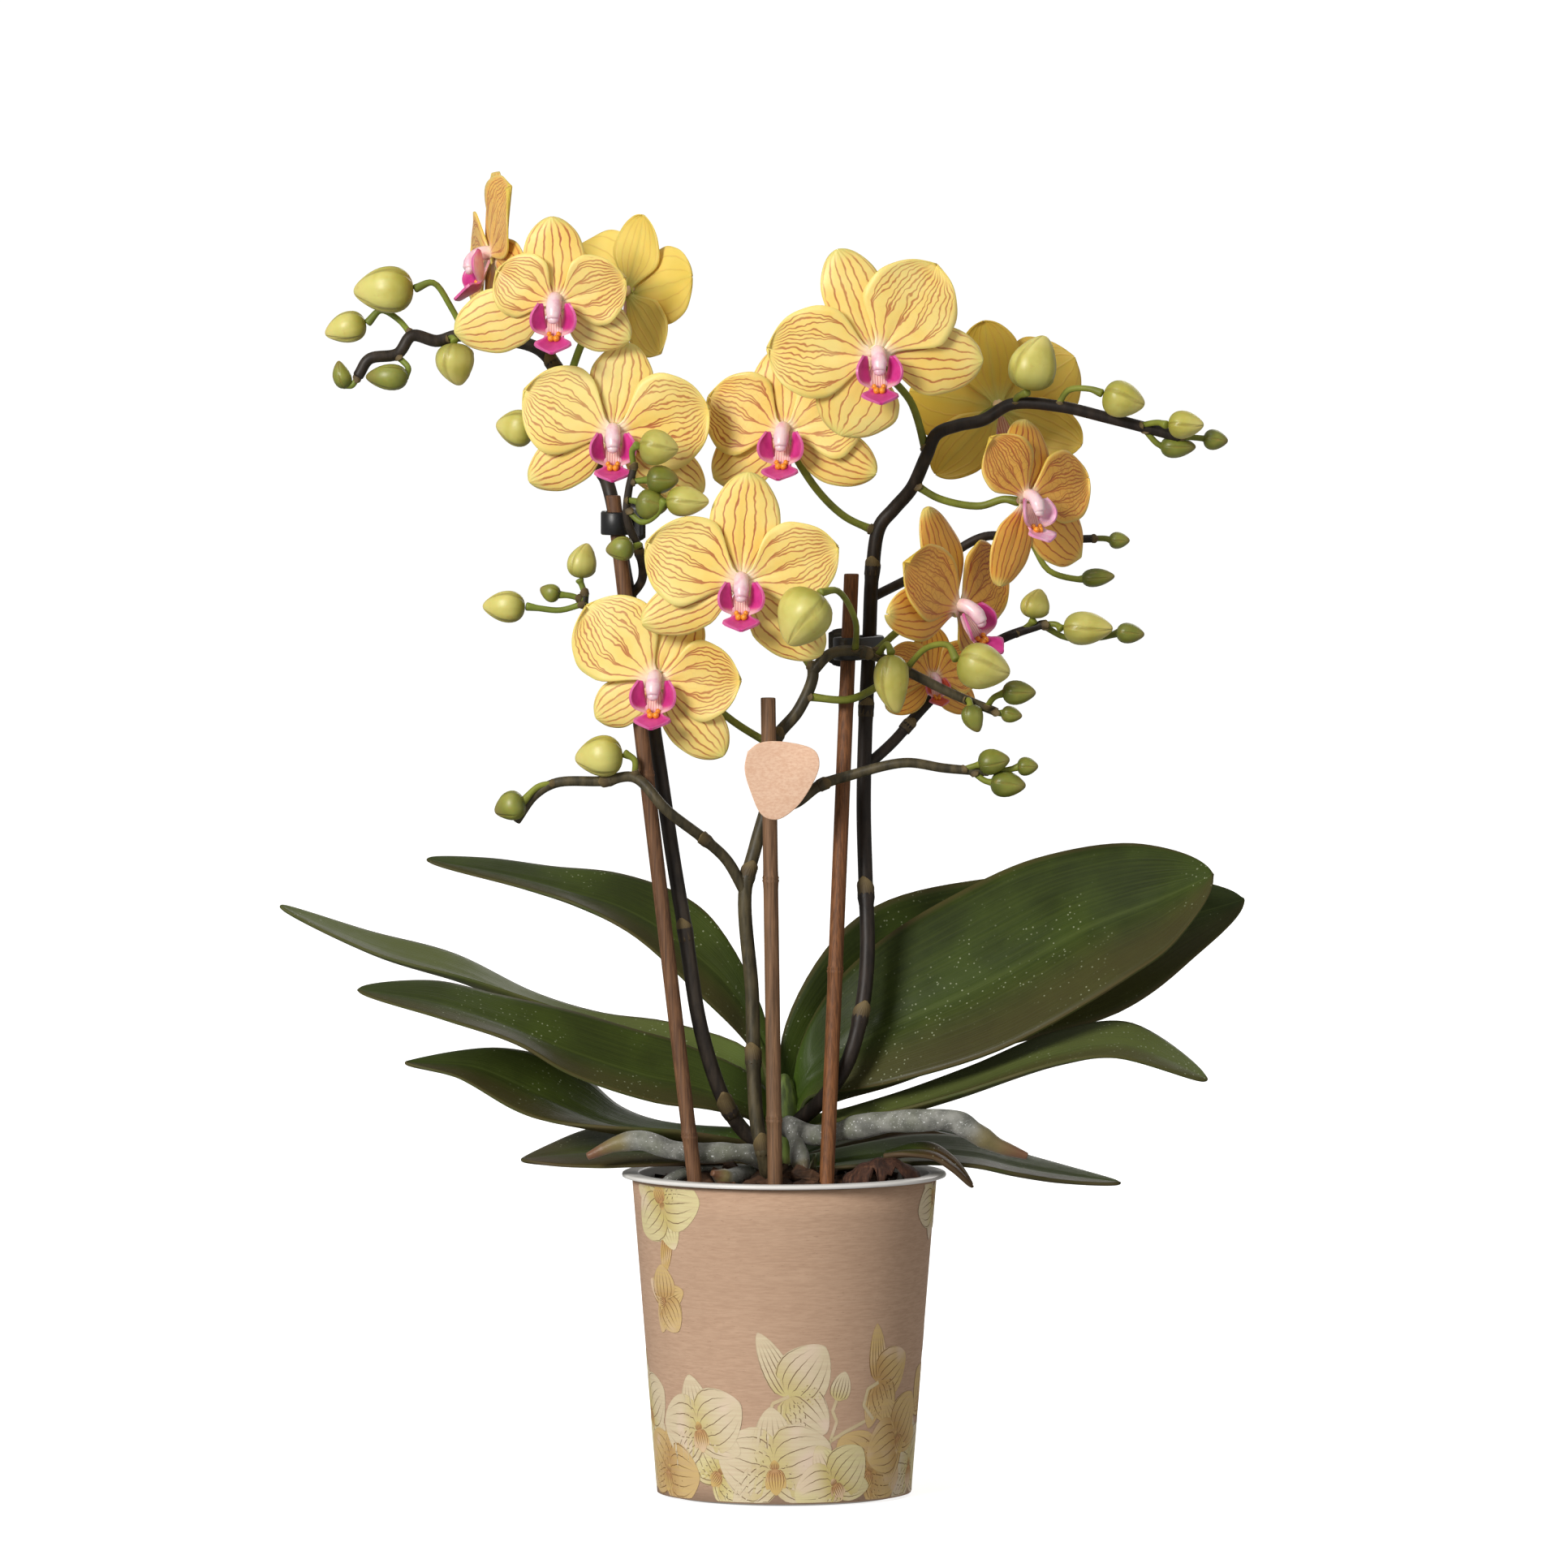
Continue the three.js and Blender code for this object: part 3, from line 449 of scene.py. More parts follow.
def kraft_card():
    card = Finish("kraft card", roughness=0.82, specular_ior_level=0.25)
    fibres = card.noise((260, 260, 2300), 5, 0.6)
    streaks = card.noise((60, 60, 700), 4, 0.6)
    cloud = card.noise(30, 3)
    flecks = card.noise((500, 500, 3000), 2, 0.5)
    base = card.mix(fibres.between(0.3, 0.7), (184, 151, 126), (199, 166, 140))
    base = card.mix(streaks.between(0.42, 0.75) * 0.22, base, (210, 180, 154))
    base = card.mix(cloud.between(0.35, 0.75) * 0.25, base, (176, 144, 120))
    card.colour(card.mix(flecks.between(0.66, 0.74) * 0.35, base, (136, 104, 82)))
    card.roughness(0.78 + fibres * 0.12)
    card.bump(fibres + flecks * 0.5, 0.03, 0.35)
    return card


def build_sleeve():
    high = POT_HEIGHT - RIM_THICKNESS - SLEEVE_GAP
    shape = Shape()
    outer = [(sleeve_radius(z), z) for z in np.linspace(0.8, high, 12)]
    inner = [(radius - SLEEVE_WALL, z) for radius, z in reversed(outer)]
    shape.turned(outer + inner, 160)
    kept(shape.piece("sleeve", kraft_card()), "sleeve", "pot_sleeve")


build_sleeve()


def ink(name, fill, deep, line):
    """Printed petals: pale inside, deeper towards the middle of the blossom, with an outline and veins."""
    print_ink = Finish(name, roughness=0.72, specular_ior_level=0.25)
    across, along = print_ink.chart("petal")
    spacing, width = print_ink.chart("size")
    wobble = print_ink.noise(260, 2)
    fine = print_ink.noise((60, 60, 1500), 5, 0.6)
    vein = (across * 3.0 + wobble * 0.3).from_whole() * spacing
    lines = (1 - vein.between(0.05, 0.2)) * (1 - along.between(0.45, 0.9)) * along.between(0.04, 0.15)
    rim = ((1 - abs(across)) * width).math("MINIMUM", (1 - along) * 9.0)
    outline = 1 - rim.between(0.06, 0.24)
    body = print_ink.mix(along.between(0.05, 0.55), deep, fill)
    body = print_ink.mix(0.2 + fine.between(0.35, 0.7) * 0.25, body, (190, 158, 130))
    body = print_ink.mix(lines, body, line)
    blush = print_ink.noise(75, 2).between(0.5, 0.68) * 0.55
    body = print_ink.mix(blush * along.between(0.1, 0.6) * (1 - lines), body, (232, 206, 190))
    print_ink.colour(print_ink.mix(outline * 0.2, body, line))
    return print_ink


def on_sleeve(side, z, layer):
    """Points on the card: side is measured round the sleeve from its front, in millimetres."""
    radius = np.vectorize(sleeve_radius)(z) + INK_LIFT + INK_STEP * layer
    turn = -math.pi / 2 + side / POT_MOUTH
    return np.stack([radius * np.cos(turn), radius * np.sin(turn), z], axis=-1)


def grid(rows, columns):
    """How far along, 0 to 1, and how far across, -1 to 1, each point of a sheet is."""
    return np.meshgrid(np.linspace(0, 1, rows), np.linspace(-1, 1, columns), indexing="ij")


def printed_petal(shape, side, z, angle, length, width, layer, slot):
    steps, across = grid(12, 9)
    along = np.sin(steps * math.pi / 2)
    full = (0.22 * (1 - along) ** 2 + np.sin(math.pi * np.minimum(along, 0.995) ** 0.8) ** 0.6) * width / 2
    turn = math.radians(angle)
    out = length * along
    off = full * across
    points = on_sleeve(side + out * math.cos(turn) - off * math.sin(turn),
                       np.clip(z + out * math.sin(turn) + off * math.cos(turn), 1.2, 89.3), layer)
    shape.sheet(points, INK_FILM, slot, slot, petal=(across, along), size=(full / 3, full))


def printed_blossom(shape, side, z, size, turn, slot, layer):
    petals = [(90, 1, 0.7), (-146, 1, 0.62), (-34, 1, 0.62), (164, 1.08, 1.12), (16, 1.08, 1.12)]
    lip = [(-120, 0.34, 0.2), (-60, 0.34, 0.2), (-90, 0.4, 0.3), (90, 0.16, 0.16)]
    for k, (angle, length, width) in enumerate(petals + lip):
        part_slot = slot if k < len(petals) else 3
        printed_petal(shape, side, z, angle + turn, length * size, width * size, layer + k, part_slot)


def printed_side_view(shape, side, z, size, turn, slot, layer):
    """A blossom that looks away: four petals fan out from the end of a hooked stalk."""
    petals = [(118, 1.2, 0.46), (-82, 0.95, 0.5), (52, 1.05, 0.95), (-40, 0.95, 0.8)]
    for k, (angle, length, width) in enumerate(petals):
        printed_petal(shape, side, z, angle + turn, length * size, width * size, layer + k, slot)
    hook = [(side - 0.1 * size, z - 0.75 * size), (side - 0.4 * size, z - 0.45 * size),
            (side - 0.3 * size, z - 0.12 * size), (side, z)]
    printed_stem(shape, hook, 1.1, 4, layer + 5)


def printed_stem(shape, points, width, slot, layer):
    path = np.array(points, float)
    steps = np.linspace(0, len(path) - 1, 8 * len(path))
    middle = np.column_stack([np.interp(steps, np.arange(len(path)), path[:, k]) for k in (0, 1)])
    ahead = np.gradient(middle, axis=0)
    ahead /= np.linalg.norm(ahead, axis=1, keepdims=True)
    across = np.linspace(-1, 1, 3)
    spots = middle[:, None, :] + np.stack([-ahead[:, 1], ahead[:, 0]], axis=-1)[:, None, :] * (
        across[None, :, None] * width / 2)
    points = on_sleeve(spots[..., 0], spots[..., 1], layer)
    shape.sheet(points, INK_FILM, slot, slot, petal=(across, 0.92), size=(1.0, width / 2))


def build_sleeve_print():
    line = (122, 98, 72)
    inks = [
        ink("ink yellow", (228, 220, 164), (206, 192, 112), line),
        ink("ink cream", (226, 214, 180), (212, 200, 134), line),
        ink("ink gold", (216, 186, 120), (190, 150, 82), (122, 90, 54)),
        ink("ink lip", (216, 184, 104), (196, 146, 84), (140, 100, 66)),
        ink("ink stem", (214, 200, 156), (208, 192, 144), (140, 118, 88)),
    ]
    shape = Shape("petal", "size")
    stems = [
        [(-39, 66), (-38.5, 72), (-37, 78)], [(12, 17), (20, 21), (31, 25)], [(31, 24), (30, 30), (31, 34)],
        [(14, 16), (17, 24), (15.5, 27), (17, 31)], [(66, 18), (70, 30), (69, 40)], [(-72, 22), (-66, 34)],
    ]
    for points in stems:
        printed_stem(shape, points, 1.1, 4, 0)
    # Side and height of a blossom's middle, its size, its turn and its ink.
    blossoms = [
        (-40, 85, 14, 200, 0), (-41.5, 57, 9.5, -70, 2), (-29, 21, 16, 12, 1), (-22, 9, 12, -40, 0),
        (-3, 10.5, 18, 4, 1), (17, 6, 13, 30, 0), (30, 9, 14.5, -24, 2), (43, 18, 14, 36, 2),
        (-46, 8, 15, -18, 2), (-60, 24, 15, 12, 1), (-72, 9, 16, 20, 0), (-88, 22, 15, -8, 2),
        (54, 9, 16, 8, 1), (74, 10, 16, 15, 0), (88, 22, 15, -6, 1), (64, 27, 12, -30, 2),
        (103, 9, 16, 12, 2), (-104, 9, 16, 0, 1), (116, 24, 14, 24, 0), (-118, 24, 14, -14, 2),
        (131, 9, 15, 10, 1), (96, 82, 13, 160, 1), (-128, 83, 12, 190, 0), (58, 84, 11, 175, 1),
    ]
    side_views = [(1.5, 31.5, 17, 0, 1), (32, 34.5, 14, -22, 2), (-104, 38, 14, 10, 0), (103, 38, 14, -10, 1)]
    for k, (side, z, size, turn, slot) in enumerate(side_views):
        printed_side_view(shape, side, z, size, turn, slot, 3 + 9 * (k % 2))
    for k, (side, z, size, turn, slot) in enumerate(blossoms):
        printed_blossom(shape, side, z, size, turn, slot, 12 + 9 * (k % 3))
    buds = [
        (-38, 76, -104, 12, 5, 3), (17, 30, 74, 8.5, 6.5, 1), (69, 40, 95, 8, 6, 1), (70, 30, 20, 6, 4, 0),
        (-66, 34, 70, 8, 6, 0),
    ]
    for side, z, angle, length, width, slot in buds:
        printed_petal(shape, side, z, angle, length, width, 4, slot)
    prints = shape.piece("sleeve_print", *inks)
    prints.data.set_sharp_from_angle(angle=math.radians(40))
    kept(prints, "sleeve")


build_sleeve_print()

# ---- Bark -----------------------------------------------------------------------------------------------
# Coarse chips of composted conifer bark, loose in the pot. The heap below is one dark body, and a layer of
# separate chips lies on it.


def bark_finish(name, dark, light):
    bark = Finish(name, roughness=0.9, specular_ior_level=0.3)
    layers = bark.noise((220, 220, 900), 4, 0.65)
    patches = bark.noise(110, 3)
    base = bark.ramp(layers, (0.25, dark), (0.6, light), (0.85, (124, 92, 66)))
    bark.colour(bark.mix(patches.between(0.4, 0.7), base, (34, 25, 19)))
    bark.roughness(0.8 + layers * 0.18)
    bark.bump(layers + patches, 0.9, 0.9)
    return bark


class Maker(Nodes):
    """A geometry tree with named inputs, which ends in Realize Instances and Set Material."""

    def __init__(self, name, **kinds):
        super().__init__(bpy.data.node_groups.new(name, "GeometryNodeTree"))
        self.ids = {}
        for key, kind in kinds.items():
            socket = self.tree.interface.new_socket(key, in_out="INPUT", socket_type="NodeSocket" + kind)
            self.ids[key] = socket.identifier
        self.tree.interface.new_socket("Result", in_out="OUTPUT", socket_type="NodeSocketGeometry")
        given = self.tree.nodes.new("NodeGroupInput")
        self.given = {key: Value(self, given.outputs[key]) for key in kinds}

    def give(self, geometry):
        whole = self.node("GeometryNodeRealizeInstances", {"Geometry": geometry})
        inputs = {"Geometry": whole, "Material": self.given["Material"]}
        finished = self.node("GeometryNodeSetMaterial", inputs)
        self.put(finished, self.tree.nodes.new("NodeGroupOutput").inputs["Result"])

    def mesh(self, carrier, **values):
        """The plain mesh that the tree makes of an object, which isn't needed any more."""
        modifier = carrier.modifiers.new("maker", "NODES")
        modifier.node_group = self.tree
        for key, value in values.items():
            modifier[self.ids[key]] = value
        made = evaluated_mesh(carrier)
        bpy.data.objects.remove(carrier)
        return made


def chip_maker():
    """Scatters copies of one chip over a surface, each turned and sized by chance."""
    maker = Maker("Bark chips", Surface="Geometry", Chip="Object", Spacing="Float", Seed="Int",
                  Material="Material")
    given = maker.given
    scatter = maker.node("GeometryNodeDistributePointsOnFaces", {
        "Mesh": given["Surface"], "Distance Min": given["Spacing"], "Density Max": 90000,
        "Seed": given["Seed"]}, distribute_method="POISSON")
    chip = maker.node("GeometryNodeObjectInfo", {"Object": given["Chip"]}, output="Geometry")
    turn = maker.node("FunctionNodeRandomValue", {
        "Min": (-0.55, -0.55, 0), "Max": (0.55, 0.55, 2 * math.pi), "Seed": given["Seed"]},
        data_type="FLOAT_VECTOR")
    size = maker.node("FunctionNodeRandomValue", {"Min": (0.6, 0.6, 0.6), "Max": (1.35, 1.35, 1.3)},
                      data_type="FLOAT_VECTOR")
    maker.give(maker.node("GeometryNodeInstanceOnPoints", {
        "Points": scatter, "Instance": chip, "Rotation": turn, "Scale": size}))
    return maker


def build_bark():
    heap = bark_finish("bark heap", (38, 27, 20), (70, 50, 36))
    bed = bpy.data.objects["bark_bed"]
    bed.data.materials.clear()
    bed.data.materials.append(heap.material)

    chance = np.random.default_rng(11)
    chip = Shape()
    steps = np.linspace(-1, 1, 6)
    grid = np.array([[(5.2 * a + 0.4 * chance.normal(), 3.1 * b * (1 - 0.3 * a * a) + 0.35 * chance.normal(),
                       0.5 * math.sin(2 * a) + 0.3 * chance.normal()) for b in (-1, -0.35, 0.35, 1)]
                     for a in steps])
    chip.sheet(grid, 2.6, 0, 0)
    lump = chip.piece("one chip", heap)
    ring = Shape()
    rings = [(0.0, 88.5), (10, 91), (19, 90), (26, 88.5), (33.5, 87)]
    turn = np.linspace(0, 2 * math.pi, 25)[:-1]
    points = np.array([[(r * math.cos(t), r * math.sin(t), z) for t in turn] for r, z in rings[1:]])
    count = len(turn)
    faces = ring_faces(len(rings) - 1, count)
    ring.add(points, [face[::-1] for face in faces] + [tuple(range(count))])
    surface = ring.piece("chip surface", heap)
    loose = bark_finish("bark chips", (52, 37, 27), (96, 68, 48))
    mesh = chip_maker().mesh(surface, Chip=lump, Spacing=0.0052, Seed=4, Material=loose.material)
    bpy.data.objects.remove(lump)
    chips = bpy.data.objects.new("bark_chips", mesh)
    bpy.context.scene.collection.objects.link(chips)
    kept(chips, "bark")


build_bark()

# A flake of outer bark that has dried red-brown and curled up, lying on the heap at the front right.


def smooth(points, count):
    """Points along a centripetal Catmull-Rom curve."""
    knots = np.array(points, float)
    knots = np.vstack([2 * knots[0] - knots[1], knots, 2 * knots[-1] - knots[-2]])
    result = []
    for place in np.linspace(0, len(points) - 1, count):
        i = min(int(place), len(points) - 2)
        w = place - i
        p0, p1, p2, p3 = knots[i:i + 4]
        t0, t1, t2 = (max(np.linalg.norm(b - a) ** 0.5, 1e-4) for a, b in ((p0, p1), (p1, p2), (p2, p3)))
        m1 = ((p1 - p0) / t0 - (p2 - p0) / (t0 + t1) + (p2 - p1) / t1) * t1
        m2 = ((p2 - p1) / t1 - (p3 - p1) / (t1 + t2) + (p3 - p2) / t2) * t1
        result.append(p1 + m1 * w + (3 * (p2 - p1) - 2 * m1 - m2) * w ** 2
                      + (2 * (p1 - p2) + m1 + m2) * w ** 3)
    return np.array(result)


def build_dried_bark():
    flake = Finish("dried bark", roughness=0.8, specular_ior_level=0.35)
    grain = flake.noise((900, 900, 250), 5, 0.65)
    blotch = flake.noise(170, 3)
    base = flake.ramp(grain, (0.3, (42, 26, 19)), (0.55, (80, 50, 36)), (0.8, (126, 90, 64)))
    flake.colour(flake.mix(blotch.between(0.45, 0.72), base, (40, 25, 19)))
    flake.bump(grain, 0.5, 0.9)
    chance = np.random.default_rng(5)
    along = np.linspace(0, 1, 26)
    middle = smooth([[16.5, -17, 90.5], [23, -21, 94.6], [31, -20, 95.4], [38, -15, 92]], len(along))
    across = np.linspace(-1, 1, 11)
    ragged = 1 + 0.22 * np.sin(along * 23 + 1) + 0.16 * chance.normal(size=len(along))
    curl = across[None, :] * (1.75 - 0.35 * along[:, None]) * np.clip(ragged, 0.6, 1.4)[:, None]
    reach = 4.9 - 1.6 * np.abs(along[:, None] - 0.5)
    points = middle[:, None, :] + np.stack([0.5 * np.sin(9 * along)[:, None] * across[None, :] * 1.2,
                                            -reach * np.sin(curl), reach * np.cos(curl) - 3.4], axis=-1)
    points[..., 2] += 0.25 * np.sin(along * 30)[:, None]
    shape = Shape()
    shape.sheet(points, 0.7, 0, 0)
    kept(shape.piece("dried_bark_curl", flake), "bark", "dried_bark")


build_dried_bark()

# ---- Crown ----------------------------------------------------------------------------------------------
# The short stem that the leaves clasp: their folded bases overlap on it, bright green where the light
# reaches them and brown where the oldest have died back.


def build_crown():
    skin = Finish("crown", roughness=0.45, coat_weight=0.2, coat_roughness=0.3)
    height = skin.apart(skin.place())[2]
    streak = skin.noise((700, 700, 90), 3)
    green = skin.mix(streak.between(0.35, 0.7), (70, 86, 32), (112, 132, 56))
    dead = skin.mix(streak.between(0.3, 0.7), (84, 66, 40), (132, 108, 70))
    skin.colour(skin.mix((height + streak * 0.01).between(0.094, 0.104), dead, green))
    skin.bump(streak, 0.3, 0.5)
    shape = Shape()
    levels = [(0, 79.6), (4, 80), (6, 81.5), (6.4, 88), (6.0, 94), (5.2, 102), (4.4, 108), (3.4, 113),
              (2.2, 117), (1.0, 119), (0, 119.4)]
    shape.turned(levels, 40)
    points = shape.points[0]
    turn = np.arctan2(points[:, 1], points[:, 0])
    swell = 1 + 0.1 * np.cos(2 * turn) + 0.04 * np.sin(points[:, 2] * 0.55 + 2 * turn)
    points[:, :2] *= swell[:, None]
    # Old leaf bases, split into dry points, stand round the foot of the stem.
    old = [(-120, 0.35, 15), (-70, 0.3, 12), (-20, 0.4, 13), (60, 0.3, 14), (140, 0.35, 13), (200, 0.35, 16)]
    for k, (angle, lean, tall) in enumerate(old):
        along, across = grid(9, 7)
        turned = math.radians(angle) + across * 0.62 * (1 - 0.75 * along ** 1.5)
        radius = 7.7 + 0.25 * (k % 3) + lean * 3 * along ** 2
        z = 84 + tall * along - 1.2 * across ** 2 * along
        shape.sheet(np.stack([radius * np.cos(turned), radius * np.sin(turned), z], axis=-1), 0.5)
    kept(shape.piece("crown_stem", skin), "stem", "crown")


build_crown()

# ---- Roots ----------------------------------------------------------------------------------------------
# Aerial roots a little thinner than a pencil, wrapped in silvery velamen with small painted glints of light
# on it. Their growing tips are bare and brown-green, and one short spur dives into the bark.

ROOT_LEFT = [[-4.5, -8, 94.5], [-9, -14, 97.5], [-14, -17.5, 98.5], [-23, -20, 98.5],
  [-32, -20, 99.5], [-40, -20, 102], [-47, -19, 101], [-55, -18, 97.5]]
ROOT_RIGHT = [[1, -8, 105], [9, -14, 103], [19, -15, 105], [28, -19, 107], [38, -24, 108],
  [48, -25, 108], [54, -25, 104.5], [60, -24, 101], [68, -23, 98]]
ROOT_SPUR = [[3, -10, 104], [4, -15, 99], [5, -17, 93.5]]
ROOT_STUB = [[-7, -3, 92], [-12, -11, 91.5], [-16, -18, 91], [-20, -22.5, 93]]


def tube_maker():
    """A round tube along every path, as thick as the path's own radius, that keeps how far along it is."""
    maker = Maker("Tube along paths", Paths="Geometry", Sides="Int", Material="Material")
    paths = maker.node("GeometryNodeStoreNamedAttribute", {
        "Geometry": maker.given["Paths"], "Name": "along",
        "Value": maker.node("GeometryNodeSplineParameter")}, data_type="FLOAT", domain="POINT")
    circle = maker.node("GeometryNodeCurvePrimitiveCircle", {"Radius": 1, "Resolution": maker.given["Sides"]})
    maker.give(maker.node("GeometryNodeCurveToMesh", {
        "Curve": paths, "Profile Curve": circle, "Scale": maker.node("GeometryNodeInputRadius"),
        "Fill Caps": True}))
    return maker


TUBES = tube_maker()


def tubes(paths, sides, finish):
    """One mesh of round tubes with rounded ends. Each path is its points and their radii, in mm."""
    curve = bpy.data.curves.new("paths", "CURVE")
    curve.dimensions = "3D"
    for points, radii in paths:
        points = np.asarray(points, float)
        radii = np.broadcast_to(np.asarray(radii, float), len(points))
        ends = []
        for end, inward in ((0, 1), (-1, -2)):
            ahead = points[end] - points[inward]
            ahead /= np.linalg.norm(ahead)
            ends.append([(points[end] + ahead * radii[end] * far, radii[end] * near)
                         for far, near in ((0.26, 0.95), (0.4, 0.8), (0.5, 0.4))])
        spots = [spot for spot, _ in reversed(ends[0])] + list(points) + [spot for spot, _ in ends[1]]
        sizes = [size for _, size in reversed(ends[0])] + list(radii) + [size for _, size in ends[1]]
        spline = curve.splines.new("POLY")
        spline.points.add(len(spots) - 1)
        for corner, spot, size in zip(spline.points, spots, sizes):
            corner.co = (*(spot * 0.001), 1)
            corner.radius = size * 0.001
    carrier = bpy.data.objects.new("paths", curve)
    bpy.context.scene.collection.objects.link(carrier)
    return TUBES.mesh(carrier, Sides=sides, Material=finish.material)


def velamen():
    root = Finish("velamen", roughness=0.55, specular_ior_level=0.5, sheen_weight=0.15)
    along, tip = root.chart("path")
    fuzz_and_glints = root.noise(1500, 4, 0.7)
    rings = root.noise(260, 3)
    cloud = root.noise(75, 3)
    silver = root.mix(rings.between(0.3, 0.7), (100, 101, 94), (150, 150, 143))
    silver = root.mix(cloud.between(0.45, 0.7) * 0.7, silver, (112, 116, 94))
    # Near-white specks where this noise peaks are painted glints of light on the velamen.
    silver = root.mix(fuzz_and_glints.between(0.60, 0.68), silver, (232, 234, 232))
    start = (along + (cloud - 0.5) * 0.12)
    growing = root.mix(start.between(0.84, 0.98), (124, 112, 70), (120, 82, 56))
    bare = start.between(0.74, 0.84) * tip
    root.colour(root.mix(bare, silver, growing))
    root.roughness(0.6 - bare * 0.25 + fuzz_and_glints * 0.1)
    root.bump(fuzz_and_glints + rings * 2.0, 0.22, 0.6)
    return root


def lumpy(points, radius, count, seed, ends=(1.0, 0.7)):
    """A path with a radius that swells and shrinks a little along it."""
    chance = np.random.default_rng(seed)
    spots = smooth(points, count)
    swell = smooth([[1 + 0.09 * chance.normal()] for _ in range(count // 5)], count)[:, 0]
    taper = np.interp(np.linspace(0, 1, count), [0, 0.8, 1], [ends[0], 1, ends[1]])
    return spots, radius * np.clip(swell, 0.84, 1.16) * taper


def build_roots():
    skin = velamen()
    shape = Shape("path")
    shape.take(tubes([lumpy(ROOT_LEFT, 2.75, 60, 1, (1.0, 0.4))], 20, skin), 0, 1.0)
    kept(shape.piece("air_root_left", skin), "root", "root_left")
    shape = Shape("path")
    shape.take(tubes([lumpy(ROOT_RIGHT, 3.1, 80, 2, (1.0, 0.35))], 20, skin), 0, 1.0)
    shape.take(tubes([lumpy(ROOT_SPUR, 2.7, 24, 3, (1.0, 0.8))], 16, skin), 0, 0.6)
    kept(shape.piece("air_root_right", skin), "root", "root_right")
    shape = Shape("path")
    shape.take(tubes([lumpy(ROOT_STUB, 2.5, 26, 4, (1.0, 0.45))], 18, skin), 0, 1.0)
    # Thinner old roots that lie half in the bark round the foot of the plant.
    old = [
        [[-7, 4, 90], [-16, 12, 92], [-24, 18, 90.5], [-31, 19, 86]],
        [[6, 6, 90], [14, 16, 92.5], [20, 25, 90], [24, 31, 86]],
        [[-6, -2, 91], [-18, -3, 93], [-29, -8, 91.5], [-36, -13, 87]],
    ]
    paths = [lumpy(points, 1.9, 26, 20 + k, (1.0, 0.8)) for k, points in enumerate(old)]
    shape.take(tubes(paths, 14, skin), 0, 0.0)
    kept(shape.piece("air_root_stub", skin), "root", "root_stub")


build_roots()
